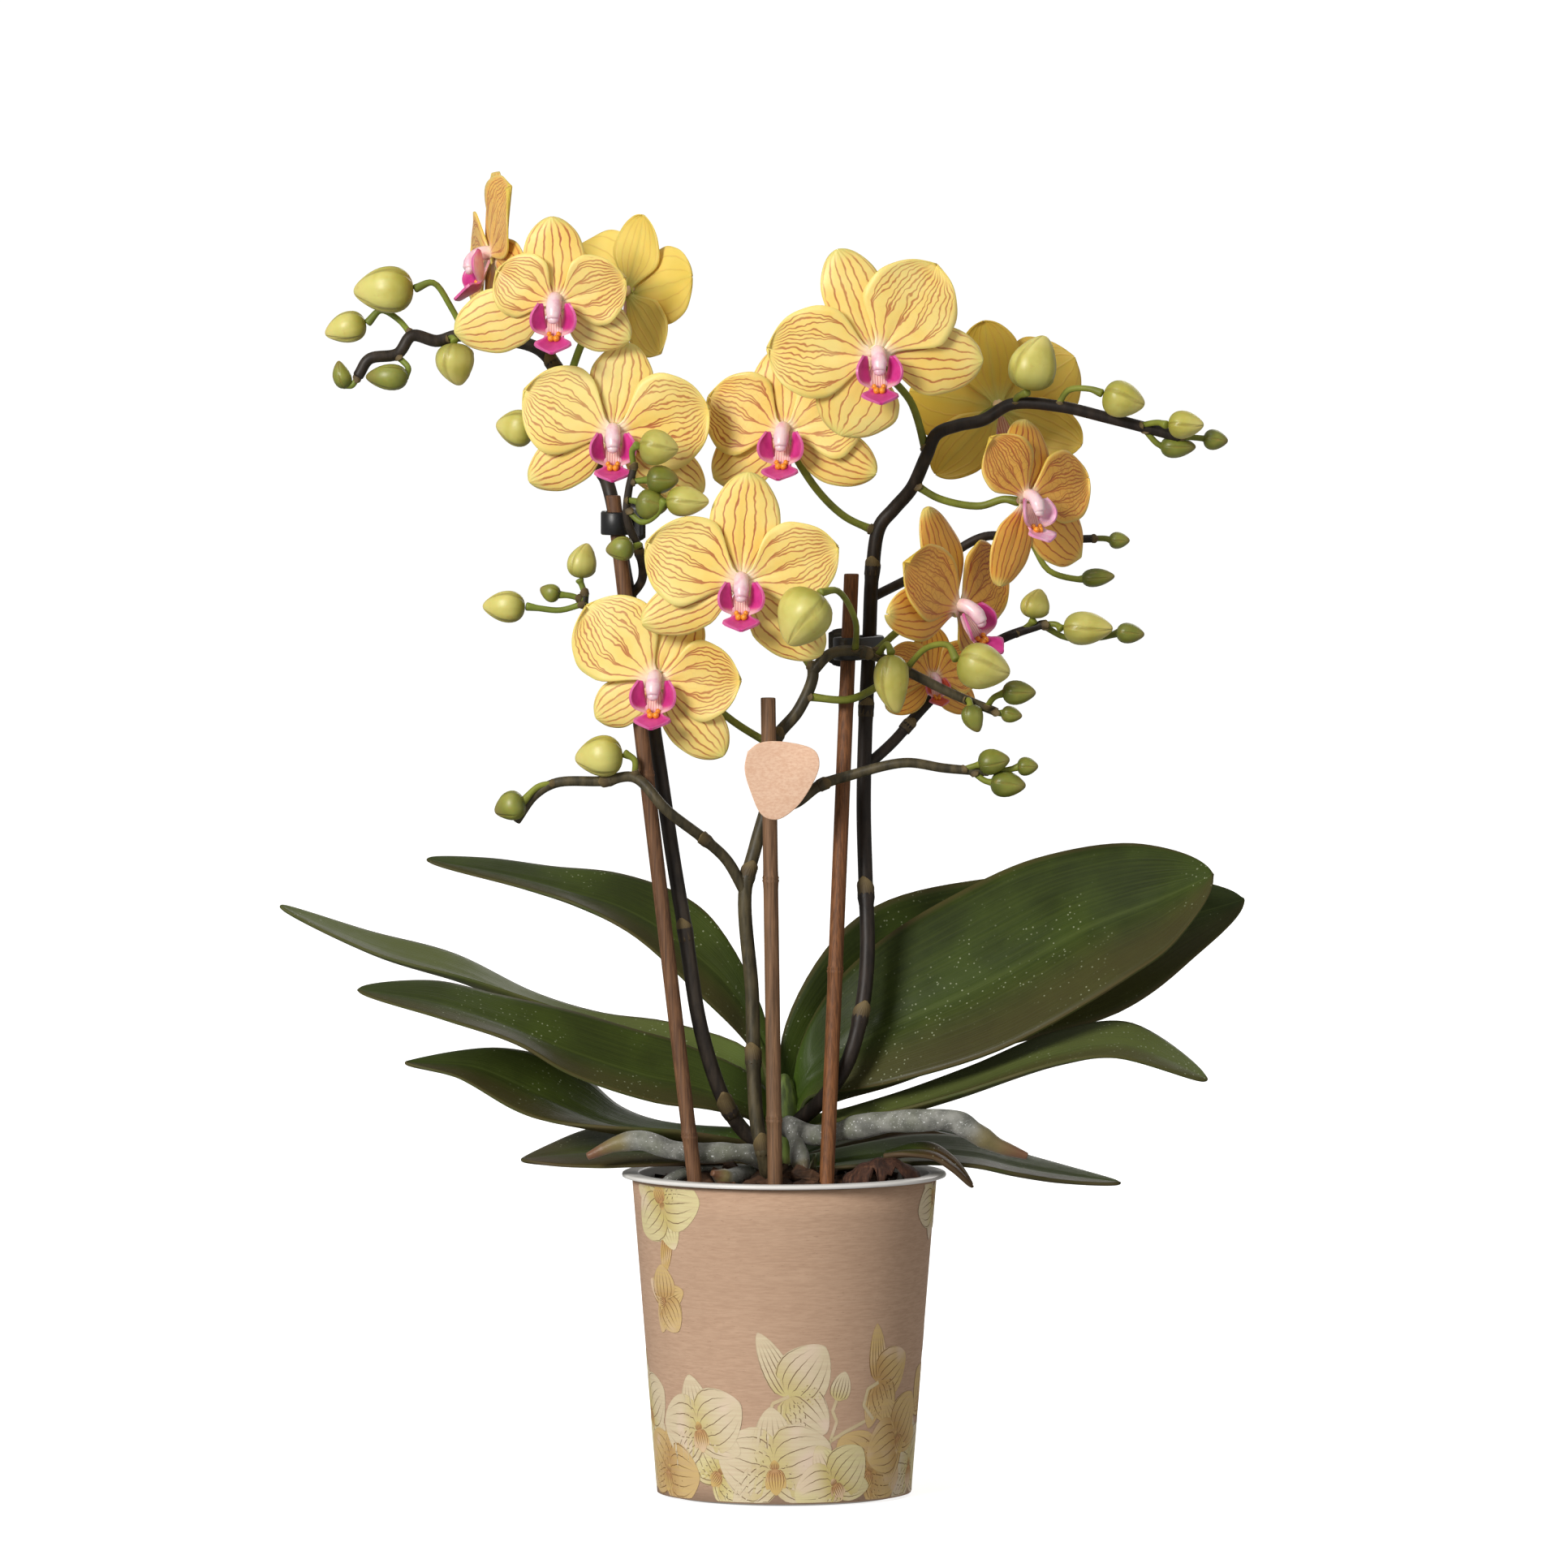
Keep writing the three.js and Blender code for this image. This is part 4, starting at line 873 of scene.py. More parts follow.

# ---- Leaves ---------------------------------------------------------------------------------------------
# Thick, leathery, strap-shaped leaves in two ranks, folded along a sunken midrib. They are dark and shiny
# above with fine pale speckles, and duller and browner underneath.

# A leaf's far and near edge, its tip, the depth of its keel, and how brown it is, from 0 to 1, how bright
# a green it has towards the crown, and how pale it is, a paleness that is painted sheen.
LEAVES = {
    "leaf_left_1": (
        [[-5, 5, 133], [-18, 12, 159], [-28, 16, 168], [-47, 20, 175], [-66, 22, 177], [-84, 21, 179]],
        [[-5, -2, 119], [-11, 0, 129], [-24, 0, 142], [-42, -1, 158], [-57, 1, 166], [-72, 6, 171]],
        [-101, 14, 179], -2, (0.35, 0.5, 0.1)),
    "leaf_left_2": (
        [[-7, 15, 122], [-31, 26, 131], [-52, 32, 134], [-71, 35, 140], [-94, 36, 151], [-118, 34, 157]],
        [[-7, 7, 115], [-28, 10, 127], [-46, 12, 131], [-66, 12, 137], [-90, 13, 145], [-115, 16, 152]],
        [-143, 24, 165], -4, (0.2, 0.6, 0.8)),
    "leaf_left_3": (
        [[-6, 4, 116], [-28, 4, 127], [-42, 4, 131], [-61, 3, 137], [-81, 2, 142], [-99, 0, 146]],
        [[-7, -3, 105], [-20, -8, 110], [-37, -14, 113], [-61, -18, 121], [-75, -20, 129], [-96, -20, 136]],
        [-120, -12, 144], -3, (0.35, 0.4, 0.1)),
    "leaf_left_4": (
        [[-6, 8, 103], [-35, 15, 105], [-47, 17, 109], [-56, 18, 116], [-66, 16, 122], [-83, 12, 126]],
        [[-7, -1, 99.5], [-28, -7, 103], [-52, -9, 105], [-66, -9, 107], [-76, -8, 110], [-92, -3, 118]],
        [-107, 5, 122], -3, (0.4, 0.5, 0.1)),
    "leaf_left_5": (
        [[-6, 11, 94], [-15, 16, 99], [-31, 20, 101], [-43, 20, 102], [-54, 18, 102], [-65, 13, 99]],
        [[-7, 2, 93], [-15, -4, 94], [-28, -9, 94.5], [-43, -12, 94.5], [-54, -11, 94], [-66, -8, 94]],
        [-74, -2, 95], -2, (0.6, 0.2, 0.2)),
    "leaf_right_1": (
        [[4, 3, 125], [12, 6, 141], [26, 8, 155], [48, 12, 169], [72, 14, 180], [101, 12, 184]],
        [[6, -4, 112], [17, -7, 115], [30, -12, 118], [62, -18, 128], [96, -19, 147], [110, -14, 157]],
        [121, -3, 176], -5, (0.35, 1.0, 0.0)),
    "leaf_right_2": (
        [[-1, 8, 113], [0, 13, 131], [12, 20, 153], [27, 28, 165], [57, 38, 172], [98, 44, 174]],
        [[5, 7, 106], [14, 11, 110], [31, 15, 115], [56, 19, 124], [96, 25, 135], [115, 30, 148]],
        [131, 38, 166], -5, (0.25, 0.9, 0.0)),
    "leaf_right_3": (
        [[6, 2, 106], [18, 2, 109], [33, 0, 114], [53, -2, 122], [77, -3, 132], [98, -5, 134]],
        [[7, -4, 104], [17, -8, 108], [30, -15, 110], [48, -24, 115], [77, -27, 124], [93, -26, 126]],
        [119, -16, 119], -3, (0.35, 0.4, 0.7)),
    "leaf_right_4": (
        [[6, 7, 96], [26, 14, 99], [40, 18, 100], [54, 18, 99], [66, 16, 96], [78, 13, 93]],
        [[7, -3, 92], [26, -7, 94], [42, -8, 95], [54, -8, 94], [66, -6, 91], [80, -3, 88.5]],
        [95, 4, 88], -2, (0.45, 0.4, 0.2)),
    "leaf_right_5": (
        [[29, -14, 99], [36, -13, 100.5], [43, -13, 100], [49, -14, 96]],
        [[28, -19, 97.5], [35, -21, 98.5], [42, -21, 97.5], [47, -21, 94]],
        [53, -18, 89], -1, (1.0, 0.0, 0.0)),
    "leaf_right_6": (
        [[3, 15, 97], [18, 30, 103], [32, 38, 104], [42, 40, 102]],
        [[7, 8, 95.5], [24, 20, 99.5], [37, 25, 101], [45, 29, 99.5]],
        [52, 36, 98], -2, (0.55, 0.2, 0.0)),
}

LEAF_THICKNESS = 2.2
# Where a leaf's far and near edges start, low on the crown, which they clasp.
LEAF_FEET = {
    "leaf_left": [[-3, 6, 98], [-5, -5, 96]], "leaf_right": [[3, 6, 100], [4, -6, 97]],
}
# A leaf clasps the crown only where it starts above this height.
CLASP_HEIGHT = 103


def leaf_top():
    skin = Finish("leaf top", roughness=0.45, specular_ior_level=0.16, coat_weight=0.06, coat_roughness=0.2)
    across, along = skin.chart("leaf")
    brown, bright = skin.chart("tone")
    cloud = skin.noise(45, 4)
    fine = skin.noise(420, 3)
    lines = skin.noise(1.0, 2, at=skin.node("ShaderNodeCombineXYZ", {0: across * 34.0, 1: along * 5.0}))
    pale, _ = skin.chart("bloom")
    green = skin.mix(cloud.between(0.3, 0.72), (38, 48, 12), (57, 71, 20))
    # The pale share lightens the top towards a greyish green: painted sheen where light glances off the leaf.
    green = skin.mix(pale * 0.75, green, (112, 120, 66))
    green = skin.mix(lines.between(0.35, 0.75) * 0.2, green, (84, 96, 34))
    lower = (across + (cloud - 0.5) * 0.5).between(0.0, 0.7)
    green = skin.mix(lower * (brown * 2.0).math("MINIMUM", 1.0) * 0.85, green, (72, 62, 34))
    dead = (brown * (0.35 + along * 1.5) - 0.72 + (cloud - 0.5) * 0.8).between(0.0, 0.6)
    green = skin.mix(dead * 0.8, green, (84, 58, 38))
    young = (1 - along.between(0.02, 0.34)) * bright
    green = skin.mix(young * 0.85, green, (96, 128, 42))
    rib = 1 - abs(across).between(0.0, 0.055)
    green = skin.mix(rib * 0.28, green, (92, 104, 50))
    cells = skin.node("ShaderNodeTexVoronoi", {"Vector": skin.place(), "Scale": 620.0}, output="Distance")
    dots = (1 - cells.between(0.09, 0.2)) * cloud.between(0.46, 0.6)
    green = skin.mix(dots * 0.6, green, (172, 178, 146))
    edge = abs(across).between(0.93, 0.99)
    skin.colour(skin.mix(edge * 0.5, green, (96, 82, 50)))
    skin.roughness(0.4 + fine * 0.16 + lines * 0.06)
    skin.bump(lines * 0.8 + fine * 0.3 + cloud * 0.6, 0.35, 0.45)
    return skin


def leaf_under():
    skin = Finish("leaf underside", roughness=0.6, specular_ior_level=0.18)
    across, _ = skin.chart("leaf")
    brown, _ = skin.chart("tone")
    cloud = skin.noise(60, 4)
    fine = skin.noise(500, 3)
    base = skin.mix(cloud.between(0.3, 0.7), (64, 74, 32), (84, 84, 44))
    base = skin.mix((cloud * 0.6 + brown * 0.8).between(0.5, 0.9) * 0.7, base, (92, 66, 54))
    rib = 1 - abs(across).between(0.0, 0.08)
    skin.colour(skin.mix(rib * 0.35, base, (120, 118, 70)))
    skin.bump(fine + cloud, 0.3, 0.4)
    return skin


def build_leaves():
    top, under = leaf_top(), leaf_under()
    rows, columns = 56, 17
    for k, (name, (far_edge, near_edge, tip, keel, tone)) in enumerate(LEAVES.items()):
        chance = np.random.default_rng(40 + k)
        foot = LEAF_FEET[name[:-2]] if far_edge[0][2] > CLASP_HEIGHT else []
        steps = np.linspace(0, 1, rows)
        reach = 0.12 * steps + 0.88 * np.sin(steps * math.pi / 2)
        fine = 4000
        outline = smooth(foot[:1] + far_edge + [tip] + near_edge[::-1] + foot[1:], 2 * fine + 1)
        spot = (reach * 0.999 * fine).astype(int)
        far, near = outline[spot], outline[2 * fine - spot]
        middle = (far + near) / 2
        half = (near - far) / 2
        across = np.linspace(-1, 1, columns)
        across = np.sign(across) * np.abs(across) ** 0.85
        along, over = np.meshgrid(reach, across, indexing="ij")
        points = middle[:, None, :] + half[:, None, :] * over[..., None]
        ripple = 0.5 * np.sin(along * (7 + 2 * chance.random()) + 3 * chance.random()) * over ** 3
        groove = -0.9 * np.exp(-(over / 0.07) ** 2) * (1 - along ** 3)
        points[..., 2] += keel * (1 - over ** 2) * (1 - along ** 4) + ripple
        thick = LEAF_THICKNESS * (1 - 0.72 * np.abs(over) ** 5) * (1 - 0.55 * along ** 6)
        if np.cross(points[rows // 2, columns // 2] - points[rows // 2 - 1, columns // 2],
                    points[rows // 2, columns // 2 + 1] - points[rows // 2, columns // 2])[2] < 0:
            points, over, thick, groove = (a[:, ::-1] for a in (points, over, thick, groove))
        shape = Shape("leaf", "tone", "bloom")
        # A leaf's paleness, its third tone number, is kept as painted sheen.
        shape.sheet(points, thick, 0, 1, bulge=groove, leaf=(over, along), tone=tone[:2],
                    bloom=(tone[2], 0.0))
        kept(shape.piece(name.replace("leaf_", "strap_"), top, under), "leaf", name)


build_leaves()

# ---- Sticks ---------------------------------------------------------------------------------------------
# Thin bamboo canes stained brown, pushed into the bark, one beside each flower spike. They are sawn off
# square, and each shows two nodes.

STICKS = {
    "stick_left": [[-16.2, -26.8, 16], [-48, -24, 284]],
    "stick_middle": [[-1.5, -28, 16], [-4.5, -21, 227]],
    "stick_right": [[8.9, -30.2, 16], [19, -3, 261]],
}


def cane(name, dark, light):
    wood = Finish(name, roughness=0.6, specular_ior_level=0.4)
    grain = wood.noise((2600, 2600, 45), 4, 0.6)
    streak = wood.noise((900, 900, 14), 3)
    cloud = wood.noise(60, 2)
    base = wood.mix(grain.between(0.3, 0.7), dark, light)
    base = wood.mix(streak.between(0.5, 0.75) * 0.5, base, [value * 0.62 for value in dark])
    wood.colour(wood.mix(cloud.between(0.5, 0.75) * 0.3, base, [value * 1.15 for value in light]))
    wood.roughness(0.5 + grain * 0.2)
    wood.bump(grain + streak, 0.12, 0.6)
    return wood


def build_sticks():
    finishes = {
        "stick_left": cane("cane left", (80, 52, 34), (128, 90, 60)),
        "stick_middle": cane("cane middle", (92, 66, 44), (140, 104, 74)),
        "stick_right": cane("cane right", (90, 54, 28), (140, 90, 52)),
    }
    nodes = {"stick_left": (104, 206), "stick_middle": (108.5, 176), "stick_right": (150, 226)}
    for name, (foot, head) in STICKS.items():
        foot, head = np.array(foot, float), np.array(head, float)
        levels = [foot[2], foot[2] + 0.4, 60]
        radii = [1.9, 2.1, 2.1]
        for node in nodes[name]:
            levels += [node - 3, node - 1, node - 0.35, node, node + 0.3, node + 1, node + 3]
            radii += [2.1, 2.22, 2.42, 2.2, 2.38, 2.16, 2.1]
        levels += [head[2] - 0.5, head[2] - 0.1, head[2]]
        radii += [2.1, 2.05, 1.85]
        share = (np.array(levels) - foot[2]) / (head[2] - foot[2])
        shape = Shape()
        shape.turned([(0, 0)] + [(radius, k) for k, radius in enumerate(radii)] + [(0, len(radii) - 1)], 28)
        points = shape.points[0]
        at = foot + (head - foot) * share[points[:, 2].astype(int)][:, None]
        points[:, 2] = 0
        points += at
        kept(shape.piece(name.replace("stick_", "cane_"), finishes[name]), "stick", name)


build_sticks()

# ---- Spikes ---------------------------------------------------------------------------------------------
# Three flower spikes: a woody-looking main stem each, purple-brown to grey-green, with thinner branches and
# green stalks to the flowers and buds. Papery sheaths clasp the joints. Unopened small buds belong to them.

def numbered(kind, rows):
    return {f"{kind}_{k}": row for k, row in enumerate(rows, 1)}


def blossom(spike, at, stalk, **pose):
    """An open flower: its place, its stalk's route, and how it is turned, tilted, rolled, sized or shaped."""
    return {"spike": "spike_" + spike, "at": at, "stalk": stalk, **pose}


def closed_bud(spike, at, tip, size, stalk, small=False):
    """A bud: its middle, the way its tip points, its length and width, and its stalk's route."""
    return {"spike": "spike_" + spike, "at": at, "tip": tip, "size": size, "stalk": stalk, "small": small}


FLOWERS = numbered("flower", [
    blossom("left", [-82, 2, 350], [[-80, 4, 326], [-72, 6, 337], [-74, 4, 347]], facing=-75, roll=25),
    blossom("left", [-64, -27, 338], [[-66, 3, 323], [-64, -8, 332], [-64, -17, 337]], facing=-5, tilt=5,
        tepals=[[92, 24, 17], [150, 19, 19], [20, 21, 20], [-163, 30, 18], [-27, 23, 15]]),
    blossom("left", [-44, 2, 340], [[-61, 0, 315], [-56, -6, 328], [-50, -7, 336]], facing=142, tilt=10,
        roll=12, size=0.86),
    blossom("left", [-48, -22, 301], [[-57, -4, 306], [-52, -8, 303], [-49, -13, 301]],
        tepals=[[82, 26, 18], [155, 28, 25], [14, 28, 27], [-151, 27, 15], [-34, 30, 16]]),
    blossom("right", [0, -12, 301], [[25, 5, 273], [17, 3, 277], [9, 0, 285], [1, -2, 298]], facing=-8,
        tepals=[[92, 24, 18], [155, 24, 24], [22, 24, 24], [-148, 24, 17], [-24, 28, 16]]),
    blossom("right", [26, -31, 323], [[40, -3, 296], [36, -7, 309], [30, -17, 317], [27, -24, 322]],
        facing=5, tepals=[[110, 32, 18], [174, 31, 26], [57, 31, 27], [-113, 24, 24], [-2, 30, 20]]),
    blossom("right", [61, 21, 307], [[54, -6, 304], [57, 3, 306], [60, 12, 307]], facing=172, roll=-12,
        size=0.96),
    blossom("right", [68, -6, 282], [[37, 0, 286], [44, 0, 282], [55, 0, 280], [62, -2, 282]], facing=36,
        size=0.9, tepals=[[84, 25, 18], [124, 24, 20], [16, 26, 23], [-108, 28, 15], [-38, 30, 20]]),
    blossom("middle", [-12, -40, 260], [[8, -14, 235], [0, -14, 246], [-9, -23, 257], [-12, -31, 260]],
        tepals=[[87, 31, 20], [156, 29, 25], [20, 29, 23], [-157, 30, 15], [-42, 30, 18]]),
    blossom("middle", [-36, -30, 232], [[-3, -15, 213], [-13, -14, 219], [-26, -18, 229], [-33, -24, 232]],
        facing=-6, tepals=[[66, 22, 17], [133, 29, 26], [2, 24, 22], [-150, 20, 14], [-48, 28, 16]]),
    blossom("middle", [49, -8, 251], [[25, -16, 239], [32, -8, 245], [40, -1, 250]], facing=52, roll=20,
        tepals=[[90, 31, 17], [128, 28, 22], [14, 25, 24], [160, 29, 16], [-60, 16, 14]]),
    blossom("middle", [42, 3, 231], [[6, -14, 227], [18, -13, 226], [31, 2, 231], [39, 7, 231]], facing=20,
        size=0.58),
])
BUDS = numbered("bud", [
    closed_bud("left", [-113, 0, 341], [-1, 0, -0.05], [17, 12.5],
        [[-90, 4, 328], [-94, 3, 336], [-99, 1, 343]]),
    closed_bud("left", [-124, 8, 330], [-1, 0, -0.25], [12, 8.5],
        [[-105, 2, 328], [-109, 6, 332.5], [-114, 8, 335]]),
    closed_bud("left", [-125, 0, 317], [-0.4, 0, 1], [8, 5], [[-120, 0, 317], [-122, 0, 314]], small=True),
    closed_bud("left", [-112, -3, 316.5], [-1, 0, 0], [12, 7], [[-109.5, 0.8, 322.6], [-106, -1, 319]],
        small=True),
    closed_bud("left", [-93, 0, 320], [0, 0, -1], [12, 10.5], [[-95, 3, 327], [-93.5, 1, 327.5]]),
    closed_bud("left", [-76, 5, 302], [-1, 0, 0.1], [11, 10],
        [[-58, -3, 311], [-62, 2, 307], [-67, 4, 303]]),
    closed_bud("left", [-35, -38, 298], [1, 0, -0.1], [11, 9.5], [[-42, -34, 292], [-42.5, -36, 297]]),
    closed_bud("left", [-34, -36, 289], [1, 0, 0], [9, 7.5], [[-43, -33, 288], [-41, -34, 288.5]],
        small=True),
    closed_bud("left", [-37, -36, 282], [1, 0, -0.2], [9, 8], [[-43.9, -32.4, 283], [-42.5, -34.5, 283]],
        small=True),
    closed_bud("left", [-27, -39, 283], [1, 0, 0], [12, 8],
        [[-44, -32, 280.5], [-40, -34, 277], [-36, -37, 279]]),
    closed_bud("left", [-46, -34, 269.5], [-1, 0, -0.1], [8, 6.5], [[-41, -29, 270], [-40.5, -32, 270.5]],
        small=True),
    closed_bud("left", [-57, -8, 265], [0.1, 0, 1], [10, 8], [[-56, -8, 255], [-57, -8, 258]]),
    closed_bud("left", [-66, -8, 256], [-1, 0, 0.3], [6, 5], [[-57, -8, 254], [-60, -8, 255]], small=True),
    closed_bud("left", [-79, -8, 252], [-1, 0, 0], [12, 8.5],
        [[-56, -8, 253], [-63, -8, 251], [-69, -8, 251.5]]),
    closed_bud("middle", [5, -51, 251], [-0.6, -0.3, -0.8], [16.5, 15],
        [[20, -16, 240], [20, -28, 249], [15, -41, 258]]),
    closed_bud("middle", [-52, -30, 211], [-1, 0, -0.1], [13.5, 11], [[-42, -29, 205.5], [-42, -30, 210]]),
    closed_bud("middle", [-77, -31, 197], [-1, 0, -0.3], [9, 8], [[-64, -29, 203.5], [-69, -30, 202.5]],
        small=True),
    closed_bud("middle", [30, -23.5, 231], [0, 0, -1], [16.5, 9.5], [[26, -16, 238.5], [29, -21, 242]]),
    closed_bud("middle", [56, -29, 236], [1, 0, -0.3], [15, 12.5],
        [[34, -16, 234.5], [40, -21, 241], [46, -26, 242]]),
    closed_bud("middle", [66, -22, 228.5], [1, 0, 0], [9.5, 6.5], [[57, -17, 224], [59, -20, 227]],
        small=True),
    closed_bud("middle", [53, -20, 221], [0.2, 0, -1], [8, 6], [[51, -16, 226], [52, -18, 226]],
        small=True),
    closed_bud("middle", [64, -17, 222], [1, 0, -0.2], [6, 4.5], [[59, -16, 223], [60, -17, 222.5]],
        small=True),
    closed_bud("middle", [59, -20, 209], [1, 0, 0.2], [9, 7], [[50, -18, 206.5], [53, -19, 207.5]],
        small=True),
    closed_bud("middle", [63, -19, 202.5], [1, 0, -0.1], [10, 7], [[53, -18, 206], [56.5, -19, 203.5]],
        small=True),
    closed_bud("middle", [68.5, -18, 207.5], [1, 0, 0], [6, 5], [[56, -18, 206], [63, -18, 206.5]],
        small=True),
    closed_bud("right", [71, 10, 252], [0.1, 0, 1], [8.5, 8], [[65, 12, 243], [69, 11, 245.5]]),
    closed_bud("right", [86, 9, 245], [1, 0, 0], [14, 9], [[73, 11, 246], [77, 10, 246]]),
    closed_bud("right", [98, 10, 243.5], [1, 0, -0.1], [8, 5.5],
        [[73, 11, 246], [80, 15, 242], [89, 15, 242], [93, 12, 243]], small=True),
    closed_bud("right", [95, 18, 269.5], [1, 0, 0], [6, 4.5], [[87, 18, 270], [91, 18, 270]], small=True),
    closed_bud("right", [89, 18, 259], [1, 0, 0.1], [9.5, 5],
        [[70, 19, 269.5], [75, 18, 261], [83, 18, 258.5]], small=True),
    closed_bud("right", [70, -12, 321], [0.2, 0, 1], [16, 13], [[65, -7, 309], [65.5, -9, 311]]),
    closed_bud("right", [95.5, -14, 310.5], [1, 0, -0.3], [12, 10],
        [[77, -8, 308.5], [80, -10, 313], [86, -13, 313.5]]),
    closed_bud("right", [113, -14, 303.5], [1, 0, 0], [10, 7.5], [[100, -8, 303], [105, -11.5, 304]]),
    closed_bud("right", [121.5, -8, 299], [1, 0, -0.1], [7, 5.5], [[111, -8, 300], [117, -8, 299.5]],
        small=True),
    closed_bud("right", [111, -6, 297], [1, 0, 0], [10, 6], [[101, -8, 302.5], [105, -7, 298]], small=True),
])
SPIKES = {
    "spike_left": [
        [2.2, [[-4, -6, 100], [-8, -9, 101.5], [-11, -10, 103.5], [-16, -14, 111], [-20, -17, 121],
          [-24, -19, 136], [-28, -19, 162], [-31, -18.5, 180], [-38, -18.5, 226], [-45, -18.5, 263],
          [-47.3, -18.5, 277], [-49, -18, 285], [-53, -10, 296], [-57, -4, 306], [-62, 0, 315],
          [-69, 4, 324], [-80, 5, 327], [-92, 4, 328], [-98, 3, 326.5], [-105, 2, 328],
          [-109, 1, 323], [-117, 0, 321.5], [-120, 0, 317]]],
        [1.3, [[-43.5, -18.5, 255], [-40, -21, 260], [-40.5, -28, 268], [-44, -31.5, 278], [-43.5, -33, 286],
          [-42, -34, 292.5]]],
        [1.3, [[-42, -18.5, 247], [-48, -11, 247], [-53, -8, 250], [-56, -8, 252], [-56, -8, 256]]],
    ],
    "spike_middle": [
        [2.2, [[-3, -5, 90], [-4, -12, 90.5], [-5, -18, 94], [-6, -20, 100], [-7.5, -20, 106],
          [-8.5, -19.5, 120], [-9, -18, 143], [-11, -18, 172], [-8, -16, 185], [-4, -15, 200], [-3, -15, 214],
          [4, -14, 223], [8, -14, 232], [8, -14, 236]]],
        [1.6, [[-11, -18, 172], [-16, -20, 181], [-22, -24, 187], [-33, -31, 196], [-42, -29, 205],
          [-51, -29, 204], [-64, -29, 203.5], [-70, -29, 200], [-75, -29, 193]]],
        [1.6, [[-5, -15.3, 195], [3, -17, 197], [10, -17, 202], [19, -17, 205], [34, -18, 208.5],
          [45, -18, 207], [56, -18, 206]]],
        [1.6, [[8, -14, 234], [13, -15, 239], [20, -16, 240], [27, -16, 238], [34, -16, 234.5],
          [48, -16, 227.5], [59, -16, 223]]],
    ],
    "spike_right": [
        [2.2, [[4, -3, 106], [11, -9, 113], [18, -14, 124], [22, -13, 139], [23.5, -9, 154],
          [23, -4, 174], [22.5, 2, 195], [23, 4, 218], [24, 4.5, 240], [25, 5, 262], [27, 5, 274],
          [31, 4, 279], [36, 1, 285], [40, -3, 294], [43, -5, 300.5], [49, -6, 303], [56, -6, 304.5],
          [64, -7, 309], [77, -8, 308.5], [92, -8, 305], [111, -8, 300]]],
        [1.6, [[23, 3.5, 206], [31, 8, 213], [39, 11, 222], [51, 12, 234], [61, 12, 241.5],
          [73, 11, 246]]],
        [1.4, [[25, 5, 254], [42, 18, 262], [57, 20, 270.5], [70, 19, 269.5], [88, 18, 270]]],
    ],
}

COLUMN_BACK = 3.0
STALK_RADIUS, BUD_STALK_RADIUS = 1.1, 0.9


def flower_place(flower):
    """The matrix, in millimetres, from a flower's own frame: x to its right, y up and z out of its face."""
    facing = Matrix.Rotation(math.radians(flower.get("facing", 0)), 4, "Z")
    tilt = Matrix.Rotation(math.radians(90 + flower.get("tilt", 0)), 4, "X")
    roll = Matrix.Rotation(math.radians(flower.get("roll", 0)), 4, "Z")
    size = Matrix.Scale(flower.get("size", 1), 4)
    return Matrix.Translation(flower["at"]) @ facing @ tilt @ roll @ size


def stalk_end(flower):
    return list(flower_place(flower) @ Vector((0, -0.6, -COLUMN_BACK - 1.2)))


def bud_base(bud):
    back = bud["size"][0] / 2 + (-1.0 if bud["small"] else 0.7)
    return list(Vector(bud["at"]) - Vector(bud["tip"]).normalized() * back)


def stem_finish(name, dark, light, green):
    """Bark-like skin at the foot of a path that turns into the green of a young stalk towards its end."""
    skin = Finish(name, roughness=0.52, specular_ior_level=0.32, coat_weight=0.05, coat_roughness=0.4)
    along, young = skin.chart("path")
    grain = skin.noise((500, 500, 110), 4)
    mottle = skin.noise(160, 3)
    base = skin.mix(grain.between(0.3, 0.7), dark, light)
    base = skin.mix(mottle.between(0.5, 0.72) * 0.5, base, [value * 0.7 for value in dark])
    fresh = skin.mix(mottle.between(0.3, 0.7), green, [value * 1.2 for value in green])
    share = (young + (along - 0.5) * young * 0.7 + (mottle - 0.5) * 0.3).between(0.25, 0.8)
    skin.colour(skin.mix(share, base, fresh))
    skin.roughness(0.42 + grain * 0.18)
    skin.bump(grain + mottle, 0.2, 0.5)
    return skin


def sheath_finish():
    paper = Finish("sheath", roughness=0.62, specular_ior_level=0.4)
    across, along = paper.chart("sheath")
    ribs = (across * 7.0).from_whole()
    grain = paper.noise(300, 3)
    base = paper.mix(along.between(0.1, 1.0), (74, 62, 42), (128, 110, 72))
    base = paper.mix(grain.between(0.45, 0.75) * 0.5, base, (70, 56, 38))
    paper.colour(paper.mix((1 - ribs.between(0.05, 0.3)) * 0.4, base, (84, 66, 42)))
    paper.bump(ribs + grain, 0.2, 0.5)
    return paper


def arc_of(path):
    """How far along a path each of its points is."""
    return np.concatenate([[0], np.cumsum(np.linalg.norm(np.diff(path, axis=0), axis=1))])


def sheath(shape, path, radius, place, length, slot, side):
    """A pointed papery scale wrapped round the stem, just above the joint at place along the path."""
    start = int(place * (len(path) - 1))
    arc = arc_of(path)
    distance = np.linspace(-0.6, length * 0.62, 10) + arc[start]
    centre = np.column_stack([np.interp(distance, arc, path[:, k]) for k in range(3)])
    ahead = np.gradient(centre, axis=0)
    ahead /= np.linalg.norm(ahead, axis=1, keepdims=True)
    front = np.array([0.25 * side, -1.0, 0.0])
    front = front - ahead * (ahead @ front)[:, None]
    front /= np.linalg.norm(front, axis=1, keepdims=True)
    right = np.cross(front, ahead)
    along, across = grid(10, 9)
    angle = across * 2.7 * (1 - along ** 1.4) + across * 0.12
    reach = radius + 0.05 + 0.3 * along ** 3
    points = centre[:, None, :] + reach[..., None] * (
        front[:, None, :] * np.cos(angle)[..., None] + right[:, None, :] * np.sin(angle)[..., None])
    shape.sheet(points, 0.22, slot, slot, sheath=(across, along))


